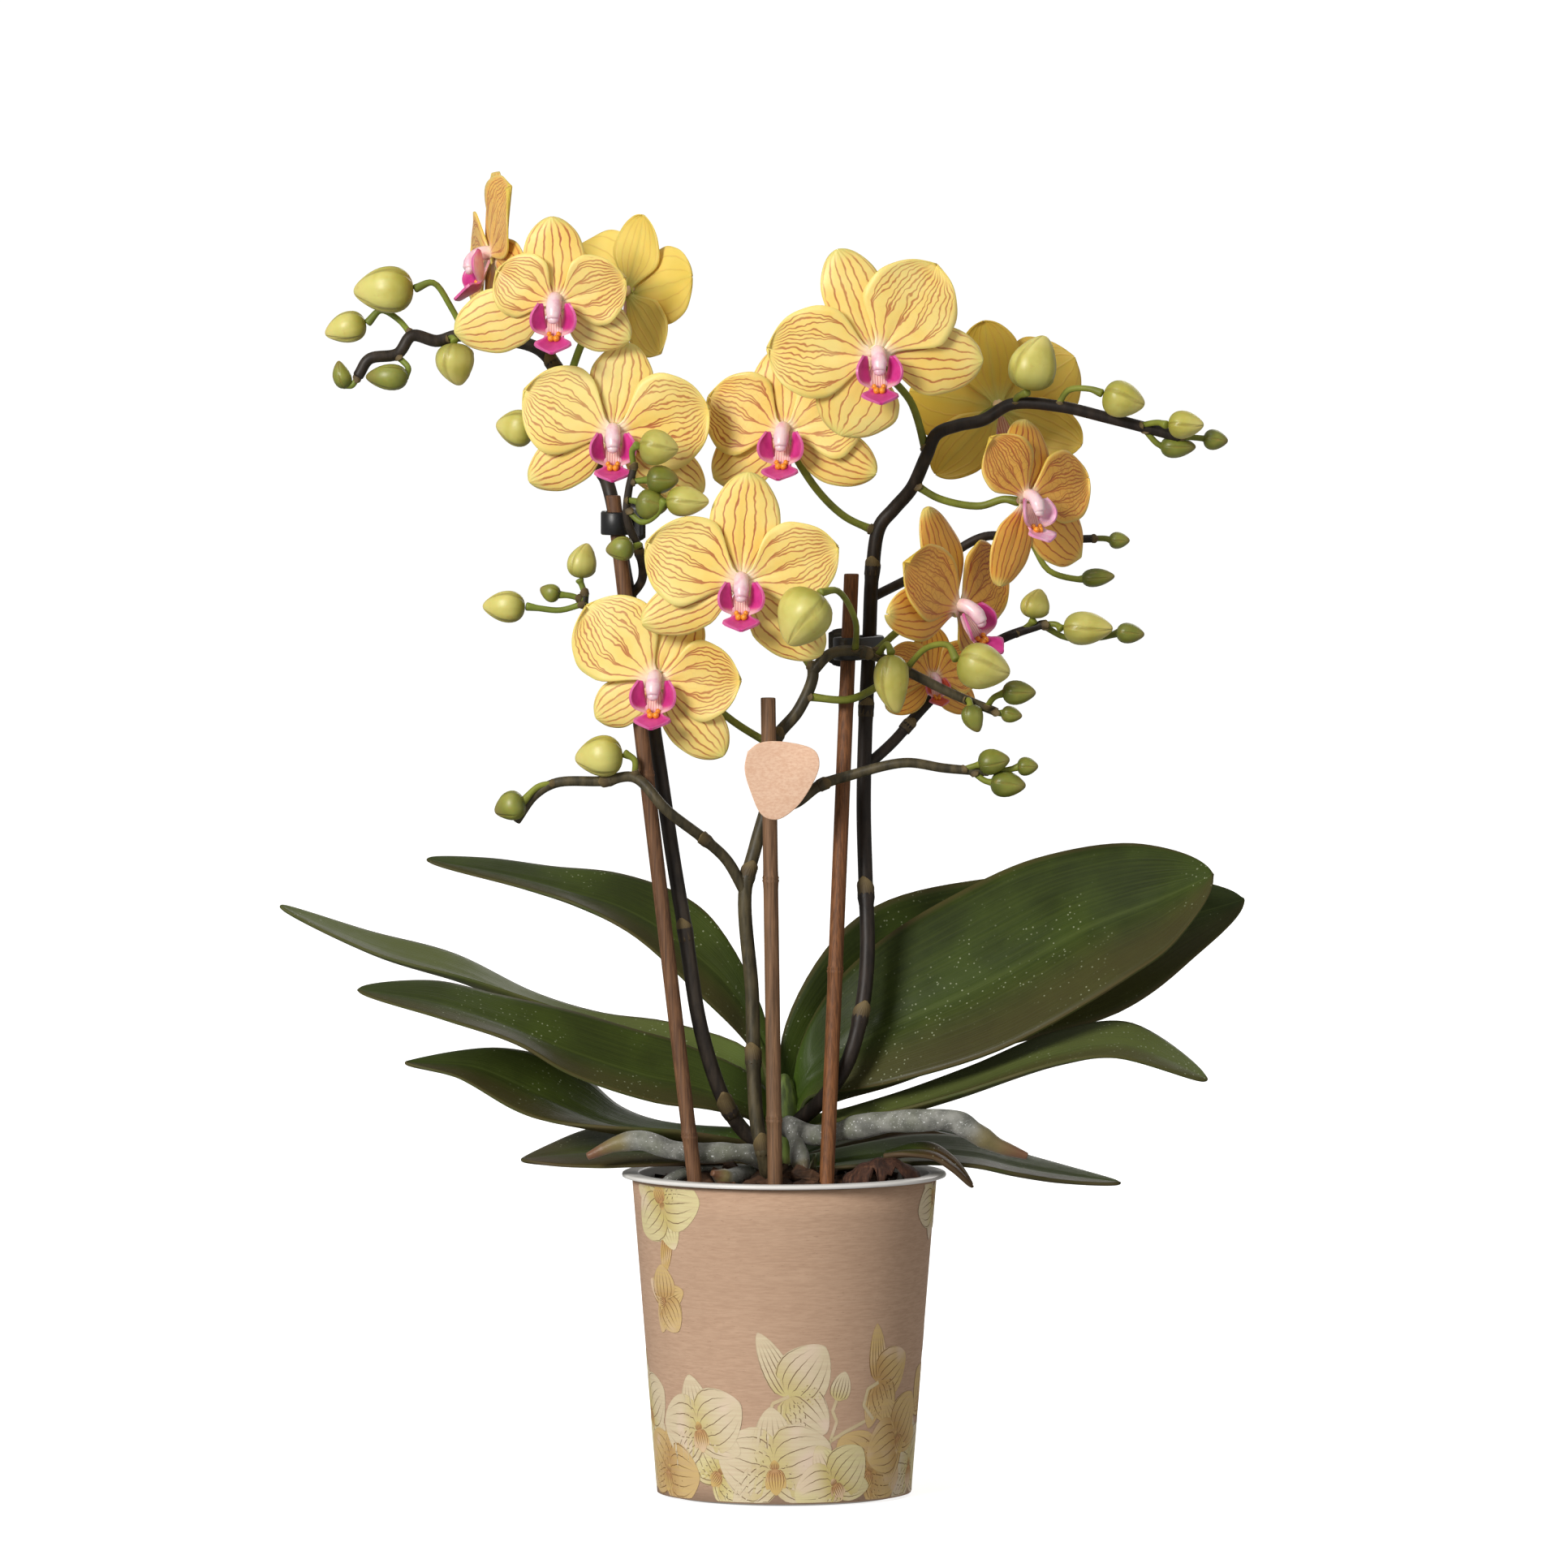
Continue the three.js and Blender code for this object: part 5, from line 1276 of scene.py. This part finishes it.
def capped(rings, sides):
    """The faces of a closed lump. Its points are its rings, then its low end and its high end."""
    low, last = rings * sides, (rings - 1) * sides
    ends = [(low, (k + 1) % sides, k) for k in range(sides)]
    ends += [(low + 1, last + k, last + (k + 1) % sides) for k in range(sides)]
    return ring_faces(rings, sides) + ends


def turned_over(faces):
    """The same faces, pointing the other way."""
    return [(face[0], *face[:0:-1]) for face in faces]


def bud_body(shape, bud, slot):
    """A plump bud: five tepals pressed together, whose overlaps run as ribs from the stalk to the tip."""
    length, width = bud["size"]
    rows, sides = (20, 30) if not bud["small"] else (14, 20)
    polar = np.linspace(0, math.pi, rows)[1:-1]
    turn = 2 * math.pi * np.arange(sides) / sides
    along = -np.cos(polar)[:, None] / 2
    fold = np.abs(((turn[None, :] * 1.5 / math.pi + 0.2 * along) % 1) - 0.5) * 2
    full = (1.02 - 0.5 * along) * np.sin(polar)[:, None] ** 0.92 / 2
    full = full * (1 - 0.24 * np.clip(2 * along, 0, 1) ** 2)
    full = full * (1 + 0.045 * np.cos(3 * turn[None, :] + along * 1.2) - 0.05 * (fold > 0.9)
                   + 0.022 * np.cos(12 * turn[None, :]))
    hook = 0.1 * length * np.clip(along * 2, 0, 1) ** 2
    x = full * width * np.cos(turn)[None, :] + hook
    z = full * width * np.sin(turn)[None, :]
    y = along * length + 0 * full
    points = np.stack([x, y, z], axis=-1).reshape(-1, 3)
    points = np.vstack([points, [0, -length / 2, 0], [hook[-1, 0], length / 2, 0]])
    turned = Vector((0, 1, 0)).rotation_difference(Vector(bud["tip"])).to_matrix()
    points = points @ np.array(turned).T + np.array(bud["at"], float)
    seam = np.append(np.broadcast_to(fold, full.shape).ravel(), [0, 0])
    reach = np.append((along + 0.5 + 0 * full).ravel(), [0, 1])
    shape.add(points, turned_over(capped(rows - 2, sides)), slot, bud=(seam, reach))


def bud_finish(name, pale, yellow, foot, tip):
    skin = Finish(name, roughness=0.42, coat_weight=0.12, coat_roughness=0.35,
                  subsurface_weight=0.12, subsurface_scale=0.0015)
    seam, reach = skin.chart("bud")
    cloud = skin.noise(95, 3)
    streak = skin.noise(420, 3)
    base = skin.mix(cloud.between(0.3, 0.7), yellow, pale)
    base = skin.mix((1 - reach.between(0.0, 0.5)) * 0.7, base, foot)
    base = skin.mix(reach.between(0.6, 1.0) * 0.6, base, tip)
    line = seam.between(0.8, 0.97)
    base = skin.mix(line * 0.5, base, (140, 122, 48))
    skin.colour(skin.mix(streak.between(0.6, 0.75) * 0.25, base, (190, 140, 74)))
    skin.bump(cloud * 0.6 + streak * 0.3 - line * 1.2, 0.4, 0.5)
    return skin


# Where each spike's joints are: the branch, how far along it, and the length of the sheath there.
JOINTS = {
    "spike_left": [(0, 0.13, 13), (0, 0.27, 10), (0, 0.36, 9), (0, 0.52, 8), (0, 0.66, 7), (1, 0.4, 5),
                   (2, 0.3, 5)],
    "spike_middle": [(0, 0.22, 9), (0, 0.40, 9), (0, 0.56, 8), (0, 0.78, 6), (1, 0.25, 6), (1, 0.6, 5),
                     (2, 0.35, 5), (3, 0.4, 5)],
    "spike_right": [(0, 0.14, 9), (0, 0.24, 9), (0, 0.36, 8), (0, 0.45, 8), (1, 0.3, 6), (2, 0.35, 5)],
}


def stalk(route, end, count, radius, places, swell):
    """A stalk's path and its radii, which swell towards both ends."""
    sizes = radius * np.interp(np.linspace(0, 1, count), places, swell)
    return smooth(route + [end], count), sizes


def build_spikes():
    skins = {
        "spike_left": stem_finish("stem left", (38, 32, 28), (60, 51, 42), (110, 122, 48)),
        "spike_middle": stem_finish("stem middle", (54, 49, 34), (92, 82, 58), (116, 122, 46)),
        "spike_right": stem_finish("stem right", (30, 23, 19), (50, 40, 33), (112, 118, 44)),
    }
    paper = sheath_finish()
    bud_skin = bud_finish("bud skin", (216, 208, 118), (192, 182, 78), (138, 138, 44), (228, 212, 130))
    young = bud_finish("young bud skin", (152, 154, 66), (118, 124, 42), (78, 88, 30), (138, 118, 66))
    for name, branches in SPIKES.items():
        shape = Shape("path", "sheath", "bud")
        chance = np.random.default_rng(len(name))
        lines = []
        for k, (radius, points) in enumerate(branches):
            count = 9 * len(points)
            path = smooth(points, count)
            share = np.linspace(0, 1, count)
            sizes = radius * (1 - (0.28 if k == 0 else 0.2) * share ** 1.5)
            lines.append((path, sizes))
        for k, place, length in JOINTS[name]:
            path, sizes = lines[k]
            share = np.linspace(0, 1, len(path))
            arc = arc_of(path)
            here = np.interp(place, share, arc)
            sizes += 0.42 * np.exp(-((arc - here) / 1.3) ** 2)
        for k, (path, sizes) in enumerate(lines):
            fresh = 0.0 if k == 0 else 0.2
            shape.take(tubes([(path, sizes)], 16 if k == 0 else 14, skins[name]), 0, fresh)
        for n, (k, place, length) in enumerate(JOINTS[name]):
            path, sizes = lines[k]
            radius = float(np.interp(place, np.linspace(0, 1, len(path)), sizes)) - 0.4
            sheath(shape, path, radius + 0.2, place, length, 1, -1 if n % 2 else 1)
        buds = [bud for bud in BUDS.values() if bud["spike"] == name]
        stalks = [stalk(flower["stalk"], stalk_end(flower), 26, STALK_RADIUS,
                        [0, 0.1, 0.8, 1], [1.25, 1, 1, 1.3])
                  for flower in FLOWERS.values() if flower["spike"] == name]
        stalks += [stalk(bud["stalk"], bud_base(bud), 16, BUD_STALK_RADIUS,
                         [0, 0.15, 0.7, 1], [1.2, 0.95, 1, 1.4]) for bud in buds]
        shape.take(tubes(stalks, 10, skins[name]), 0, 0.9)
        for bud in buds:
            if bud["small"]:
                bud_body(shape, bud, 2)
        # A small triangular scale under every stalk.
        for path, sizes in stalks:
            sheath(shape, path, sizes[0] + 0.05, 0.0, 3.2 + 0.8 * chance.random(), 1, 1)
        kept(shape.piece(name + "_stem", skins[name], paper, young), "stem", name)
    return bud_skin


BUD_SKIN = build_spikes()

# ---- Clips ----------------------------------------------------------------------------------------------
# Spring clips of black plastic that hold a spike to its cane: a flat oval ring and two ribbed finger tabs.


def build_clips():
    black = Finish("black plastic", roughness=0.38, specular_ior_level=0.5)
    grain = black.noise(1400, 3)
    black.colour(black.mix(grain, (20, 20, 21), (34, 34, 36)))
    black.roughness(0.32 + grain * 0.16)
    black.bump(grain, 0.03, 0.4)
    places = {
        "clip_left": ((-47.2, -24), (-47.2, -18.5), 276.2, -1),
        "clip_middle": ((-4.2, -21.7), (-3.5, -15), 207, -1),
        "clip_right": ((18.1, -5.2), (24, 4.5), 240, 1),
    }
    height, inside, wall = 6.4, 3.0, 1.3
    for name, (stick, stem, level, tab_side) in places.items():
        stick, stem = np.array(stick), np.array(stem)
        reach = np.linalg.norm(stem - stick) / 2
        forward = (stem - stick) / (2 * reach)
        sideways = np.array([-forward[1], forward[0]])
        tabs_out = tab_side * sideways
        middle = (stick + stem) / 2

        def put(points, sideways=sideways):
            points = np.asarray(points, float)
            flat = middle + points[..., :1] * forward + points[..., 1:2] * sideways
            return np.concatenate([flat, points[..., 2:] + level], axis=-1)

        shape = Shape()
        turn = np.linspace(0, 2 * math.pi, 49)[:-1]
        centre = np.where(np.cos(turn) >= 0, reach, -reach)
        outer = inside + wall
        section = [(inside, -0.44), (inside + 0.25, -0.5), (outer - 0.3, -0.5), (outer, -0.44),
                   (outer, 0.44), (outer - 0.3, 0.5), (inside + 0.25, 0.5), (inside, 0.44)]
        ring = np.array([[(c + r * math.cos(t), r * math.sin(t), z * height) for r, z in section]
                         for c, t in zip(centre, turn)])
        rings, corners = ring.shape[:2]
        shape.add(put(ring), turned_over(ring_faces(rings, corners, closed=True)))
        for side in (-1, 1):
            # A tab leans outwards and has three grip ribs on its outer face.
            along, across = grid(13, 7)
            rib = 0.22 * np.maximum(np.sin(along * math.pi * 7), 0) * (along > 0.35)
            rounded = 1 - 0.25 * along ** 3
            tab = np.stack([side * (1.5 + 0.9 * along + rib), inside + 0.9 + 4.2 * along,
                            across * height * 0.85 * rounded], axis=-1)
            if side * tab_side > 0:
                tab = tab[:, ::-1]
            shape.sheet(put(tab, tabs_out), 0.95)
        kept(shape.piece(name.replace("clip_", "spring_clip_"), black), "clip", name)


build_clips()

# ---- Tag ------------------------------------------------------------------------------------------------
# A die-cut kraft label with rounded corners, hung at the middle clip. Its face is bare, and its sides bow
# forwards a little.

TAG_X, TAG_Y, TAG_Z = -0.5, -29.9, 204
TAG_WALL, TAG_BOW = 0.8, 0.012


def build_tag():
    card = Finish("tag card", roughness=0.75, specular_ior_level=0.3)
    fibre = card.noise((900, 900, 1800), 4, 0.6)
    cloud = card.noise(160, 3)
    base = card.mix(fibre.between(0.3, 0.7), (228, 184, 154), (242, 206, 178))
    card.colour(card.mix(cloud.between(0.5, 0.8) * 0.3, base, (218, 170, 138)))
    card.bump(fibre, 0.012, 0.3)
    outline = smooth([(-9.8, 8.4, 0), (-6.5, 10.8, 0), (1.5, 11.0, 0), (9.2, 8.6, 0), (10.4, 4.6, 0),
                      (7.4, -2.6, 0), (3.0, -8.2, 0), (-1.6, -10.8, 0), (-5.6, -9.6, 0), (-8.8, -3.2, 0),
                      (-10.6, 3.6, 0), (-9.8, 8.4, 0)], 97)[:-1, :2]
    shape = Shape()
    profile = [(0.97, 0.4), (0.998, 0.33), (1.0, 0.15), (1.0, -0.15), (0.998, -0.33), (0.97, -0.4)]
    points = []
    for scale, depth in profile:
        points += [(TAG_X + x * scale, TAG_Y - depth - TAG_BOW * (x * scale) ** 2, TAG_Z + z * scale)
                   for x, z in outline]
    points += [(TAG_X, TAG_Y - TAG_WALL / 2, TAG_Z), (TAG_X, TAG_Y + TAG_WALL / 2, TAG_Z)]
    shape.add(points, capped(len(profile), len(outline)))
    kept(shape.piece("hang_tag", card), "tag", "tag")


build_tag()

# ---- Flowers --------------------------------------------------------------------------------------------
# Moth orchid flowers of waxy yellow tissue about a millimetre thick: three sepals behind, two broad petals
# in front, all netted with red-brown veins, and in the middle a pink column over a magenta lip.

TEPALS = [[90, 26, 19], [157, 27, 26], [23, 27, 26], [-145, 27, 17], [-35, 27, 17]]


def petal_front():
    """Veins follow the charts: across counts them and along says where they branch."""
    skin = Finish("petal face", roughness=0.46, sheen_weight=0.08, subsurface_weight=0.18,
                  subsurface_scale=0.0016, coat_weight=0.05, coat_roughness=0.4)
    across, along = skin.chart("blade")
    spacing, petal = skin.chart("size")
    warm_and_shaded, edge = skin.chart("tone")
    wobble = skin.noise(210, 2)
    cloud = skin.noise(65, 3)
    fine = skin.noise(900, 3)
    lane = across + (wobble - 0.5) * (0.4 + along * 0.7)
    thick = 1.15 + (wobble - 0.5) * 1.0
    parting = along.between(0.22, 0.7) * 0.33
    main = 1 - (lane.from_whole() * spacing / thick).between(0.10, 0.30)
    left = 1 - ((lane - parting).from_whole() * spacing / thick).between(0.08, 0.26)
    right = 1 - ((lane + parting).from_whole() * spacing / thick).between(0.08, 0.26)
    branch = left.math("MAXIMUM", right) * along.between(0.2, 0.34) * petal
    nets = skin.node("ShaderNodeCombineXYZ", {0: lane * 1.6, 1: along * 15.0, 2: warm_and_shaded})
    cells = skin.node("ShaderNodeTexVoronoi", {"Vector": nets, "Scale": 1.0}, output="Distance",
                      feature="DISTANCE_TO_EDGE")
    net = (1 - cells.between(0.01, 0.06)) * petal * along.between(0.18, 0.4) * warm_and_shaded * 0.7
    veins = main.math("MAXIMUM", branch).math("MAXIMUM", net)
    inside = edge.between(0.03, 0.17) * along.between(0.07, 0.2)
    veins = veins * inside * (0.8 + (cloud - 0.5) * 0.9)
    base = skin.mix(cloud.between(0.3, 0.7), (254, 234, 148), (252, 219, 116))
    # Warm flowers turn deeper orange: partly their own colour, partly painted shade.
    base = skin.mix(warm_and_shaded * 0.9, base, (232, 158, 36))
    base = skin.mix((1 - edge.between(0.0, 0.12)) * 0.6, base, (246, 222, 128))
    base = skin.mix(inside * 0.12, base, (244, 190, 92))
    base = skin.mix((1 - along.between(0.05, 0.2)) * 0.9, base, (252, 230, 208))
    base = skin.mix((along.between(0.86, 1.0)) * (1 - petal) * 0.5, base, (206, 200, 110))
    tint = skin.mix(along.between(0.05, 0.35), (200, 78, 96), (174, 66, 34))
    skin.colour(skin.mix(veins * 0.9, base, tint))
    skin.roughness(0.42 + fine * 0.12)
    skin.bump(cloud * 0.5 + fine * 0.12 - main * 0.35, 0.35, 0.5)
    return skin


def petal_back():
    skin = Finish("petal back", roughness=0.52, sheen_weight=0.08, subsurface_weight=0.15,
                  subsurface_scale=0.0016)
    across, along = skin.chart("blade")
    spacing, _ = skin.chart("size")
    warm_and_shaded, edge = skin.chart("tone")
    cloud = skin.noise(65, 3)
    wobble = skin.noise(210, 2)
    line = 1 - ((across + (wobble - 0.5) * 0.4).from_whole() * spacing).between(0.08, 0.42)
    base = skin.mix(cloud.between(0.3, 0.7), (238, 210, 100), (248, 224, 126))
    # Warm flowers turn darker and more olive on the back: partly their own colour, partly painted shade.
    base = skin.mix(warm_and_shaded * 0.85, base, (204, 166, 28))
    base = skin.mix(line * 0.28 * edge.between(0.05, 0.2), base, (204, 150, 74))
    rib = 1 - abs(across).between(0.1, 0.5)
    base = skin.mix(rib * 0.4 * (1 - along * 0.6), base, (196, 186, 84))
    skin.colour(skin.mix(1 - along.between(0.02, 0.3), base, (206, 200, 108)))
    skin.bump(cloud * 0.5 + line * 0.4, 0.35, 0.5)
    return skin


def lip_finish(name, deep, light):
    skin = Finish(name, roughness=0.34, sheen_weight=0.1, subsurface_weight=0.12, subsurface_scale=0.0012,
                  coat_weight=0.15, coat_roughness=0.25)
    across, along = skin.chart("blade")
    cloud = skin.noise(240, 3)
    base = skin.mix(cloud.between(0.3, 0.7), deep, light)
    base = skin.mix((1 - along.between(0.3, 0.56)) * 0.9, base, (250, 220, 206))
    stripe = 1 - (across * 3.5 + cloud * 0.5).from_whole().between(0.05, 0.22)
    base = skin.mix(stripe * 0.65 * (1 - along.between(0.34, 0.62)), base, (186, 30, 70))
    base = skin.mix(abs(across).between(0.72, 1.0) * 0.4, base, (238, 140, 190))
    skin.colour(base)
    skin.bump(cloud, 0.2, 0.4)
    return skin


def lip_outside():
    skin = Finish("lip outside", roughness=0.4, subsurface_weight=0.15, subsurface_scale=0.0012)
    across, along = skin.chart("blade")
    cloud = skin.noise(240, 3)
    base = skin.mix(cloud.between(0.3, 0.7), (248, 206, 220), (240, 168, 200))
    base = skin.mix(along.between(0.75, 1.0) * 0.8, base, (214, 60, 150))
    skin.colour(skin.mix(across.between(0.55, 1.0) * 0.6, base, (206, 50, 140)))
    return skin


def column_finish():
    skin = Finish("column", roughness=0.34, subsurface_weight=0.15, subsurface_scale=0.0012, coat_weight=0.15,
                  coat_roughness=0.25)
    along, _ = skin.chart("blade")
    cloud = skin.noise(300, 3)
    base = skin.mix(along.between(0.15, 0.6), (246, 212, 168), (248, 214, 220))
    skin.colour(skin.mix(cloud.between(0.45, 0.72) * 0.5, base, (222, 118, 164)))
    return skin


def callus_finish():
    skin = Finish("callus", roughness=0.32, coat_weight=0.2, coat_roughness=0.2)
    spots = skin.node("ShaderNodeTexVoronoi", {"Vector": skin.place(), "Scale": 2400.0}, output="Distance")
    base = skin.mix(spots.between(0.18, 0.34), (190, 60, 30), (244, 158, 40))
    skin.colour(base)
    return skin


def ball(shape, centre, radii, slot, turn=0.0):
    """An egg-shaped lump in the flower's own frame."""
    rows, sides = 9, 14
    polar = np.linspace(0, math.pi, rows)[1:-1]
    around = 2 * math.pi * np.arange(sides) / sides
    points = np.stack([np.sin(polar)[:, None] * np.cos(around) * radii[0],
                       np.sin(polar)[:, None] * np.sin(around) * radii[1],
                       -np.cos(polar)[:, None] * radii[2] + 0 * around], axis=-1).reshape(-1, 3)
    points = np.vstack([points, [0, 0, -radii[2]], [0, 0, radii[2]]])
    tipped = np.array(Matrix.Rotation(turn, 3, "X"))
    shape.add(points @ tipped.T + np.array(centre, float), capped(rows - 2, sides), slot, blade=(0.9, 0.5))


def tepal(shape, angle, length, width, lift, petal, warm_and_shaded, chance):
    steps, across = grid(28, 17)
    along = 0.05 * steps + 0.95 * np.sin(steps * math.pi / 2)

    def eased(low, high):
        share = np.clip((along - low) / (high - low), 0, 1)
        return share * share * (3 - 2 * share)

    if petal:
        full = np.sin(math.pi * np.clip(along, 0, 1) ** 1.12) ** 0.52 * (0.42 + 0.6 * eased(0, 0.42))
    else:
        full = np.sin(math.pi * np.clip(along, 0, 1) ** 1.1) ** 0.5 * (0.5 + 0.5 * eased(0, 0.4))
    full = np.maximum(full, 0.26 * (1 - along) ** 4)
    full = np.clip(np.nan_to_num(full), 0.02, 1.02) * width / 2
    full = full * (1 + 0.02 * np.sin(along * 9 + 6.3 * chance.random())
                   + 0.012 * np.sin(along * 19 + 6 * chance.random()))
    turn = math.radians(angle)
    notch = 0.5 * np.abs(across) ** 2 * (1 if petal else 0)
    out = 0.8 + (length - 0.8) * along - notch * along ** 4
    bend = chance.normal() * 0.4
    off = across * full + bend * along ** 2
    curl = (1.3 if petal else -1.3) * across ** 2 * along
    ruffle = (0.7 if petal else 0.35) * np.sin(along * 8 + 6.3 * chance.random()) * across ** 3
    rise = (lift - 1.8 * along ** 2 + curl + ruffle + 0.4 * np.sin(math.pi * along)
            - 0.55 * np.exp(-(across / 0.1) ** 2) * (1 - along))
    points = np.stack([out * math.cos(turn) - off * math.sin(turn),
                       out * math.sin(turn) + off * math.cos(turn), rise], axis=-1)
    thick = 1.05 * (1 - 0.6 * np.abs(across) ** 4) * (1 - 0.45 * along ** 5)
    lanes = 2.75 if petal else 3.4
    edge = np.minimum(1 - np.abs(across), (1 - along) * 1.1)
    shape.sheet(points, thick, 0, 1, edge=1, blade=(across * lanes, along),
                size=(full / lanes, 1.0 if petal else 0.0), tone=(warm_and_shaded, edge))


def lip(shape):
    rows = 18
    steps, across = grid(rows, 9)
    # The claw and the middle lobe, an arrowhead that points forwards and dips.
    path = smooth([(0, -1.2, 1.5), (0, -5.5, 3.2), (0, -9.4, 5.2), (0, -10.9, 8.8), (0, -12.6, 12.6)], rows)
    half = smooth([[1.2], [2.6], [2.6], [5.3], [0.5]], rows)
    cup = 0.9 * across ** 2 * np.sin(steps * math.pi)
    points = np.stack([across * half, path[:, 1:2] + cup * 0.9, path[:, 2:3] + cup * 0.5], axis=-1)
    shape.sheet(points[::-1], 0.7, 2, 2, blade=(across, steps[::-1]))
    # Two side lobes stand up on either side of the column and lean in like cupped hands.
    for side in (-1, 1):
        middle = smooth([(1.6 * side, -8.6, 5.0), (4.2 * side, -6.8, 5.9), (5.0 * side, -3.2, 6.0),
                         (4.2 * side, 0.6, 5.0)], rows)
        wide = 0.4 + 2.5 * np.sin(math.pi * np.clip(steps * 0.96 + 0.02, 0, 1)) ** 0.75
        points = middle[:, None, :] + (across * wide)[..., None] * np.array([0.68 * side, 0.1, 0.7])
        points[..., 0] -= side * 0.5 * across ** 2
        shape.sheet(points[:, ::side], 0.65, 5, 2, blade=(across[:, ::side], 0.25 + steps * 0.75))
    # The callus is a pair of small warty bumps where the lobes meet.
    for side in (-1, 1):
        ball(shape, (0.75 * side, -9.1, 6.8), (0.95, 1.0, 1.1), 4)
        ball(shape, (1.3 * side, -8.0, 5.9), (0.7, 0.8, 0.8), 4)


def column(shape, finish):
    path = smooth([(0, -0.4, -2.6), (0, 1.4, 0.6), (0, 1.3, 3.4), (0, -0.5, 6.0), (0, -2.9, 7.3)], 16)
    radii = np.interp(np.linspace(0, 1, 16), [0, 0.25, 0.6, 0.85, 1], [1.4, 1.95, 2.05, 2.2, 1.85])
    shape.take(tubes([(path, radii)], 18, finish), 3, 0.0, "blade")
    ball(shape, (0, -3.7, 7.3), (1.65, 1.3, 1.35), 3, 0.6)


def build_flowers():
    finishes = [petal_front(), petal_back(), lip_finish("lip", (190, 30, 122), (214, 60, 146)),
                column_finish(), callus_finish(), lip_outside()]
    other_lips = {"flower_8": lip_finish("pale lip", (232, 150, 194), (250, 216, 228)),
                  "flower_12": lip_finish("orange lip", (196, 62, 40), (226, 104, 72))}
    # How deep an orange each flower turns: partly its own colour, partly painted shade on the flowers that
    # face away from the key light.
    warmth_and_shade = {"flower_7": 0.75, "flower_8": 0.8, "flower_11": 0.8, "flower_12": 0.8, "flower_1": 0.55,
              "flower_3": 0.25, "flower_5": 0.1}
    lifts = [-0.6, 0.9, 0.9, -0.4, -0.4]
    for k, (name, flower) in enumerate(FLOWERS.items()):
        chance = np.random.default_rng(100 + k)
        shape = Shape("blade", "size", "tone")
        for n, (angle, length, width) in enumerate(flower.get("tepals", TEPALS)):
            warm_and_shaded = warmth_and_shade.get(name, 0.0) + 0.12 * chance.random()
            tepal(shape, angle, length, width, lifts[n], n in (1, 2), warm_and_shaded, chance)
        lip(shape)
        column(shape, finishes[3])
        placed = np.array(flower_place(flower))
        shape.points = [points @ placed[:3, :3].T + placed[:3, 3] for points in shape.points]
        skins = finishes[:2] + [other_lips.get(name, finishes[2])] + finishes[3:]
        kept(shape.piece("blossom_" + name.split("_")[1], *skins), "petal", name)


build_flowers()

# ---- Buds -----------------------------------------------------------------------------------------------
# Closed buds, greenish yellow and darker towards the stalk. The larger ones are pieces of their own.


def build_buds():
    for name, bud in BUDS.items():
        if not bud["small"]:
            shape = Shape("bud")
            bud_body(shape, bud, 0)
            kept(shape.piece("plump_" + name, BUD_SKIN), "bud", name)


build_buds()
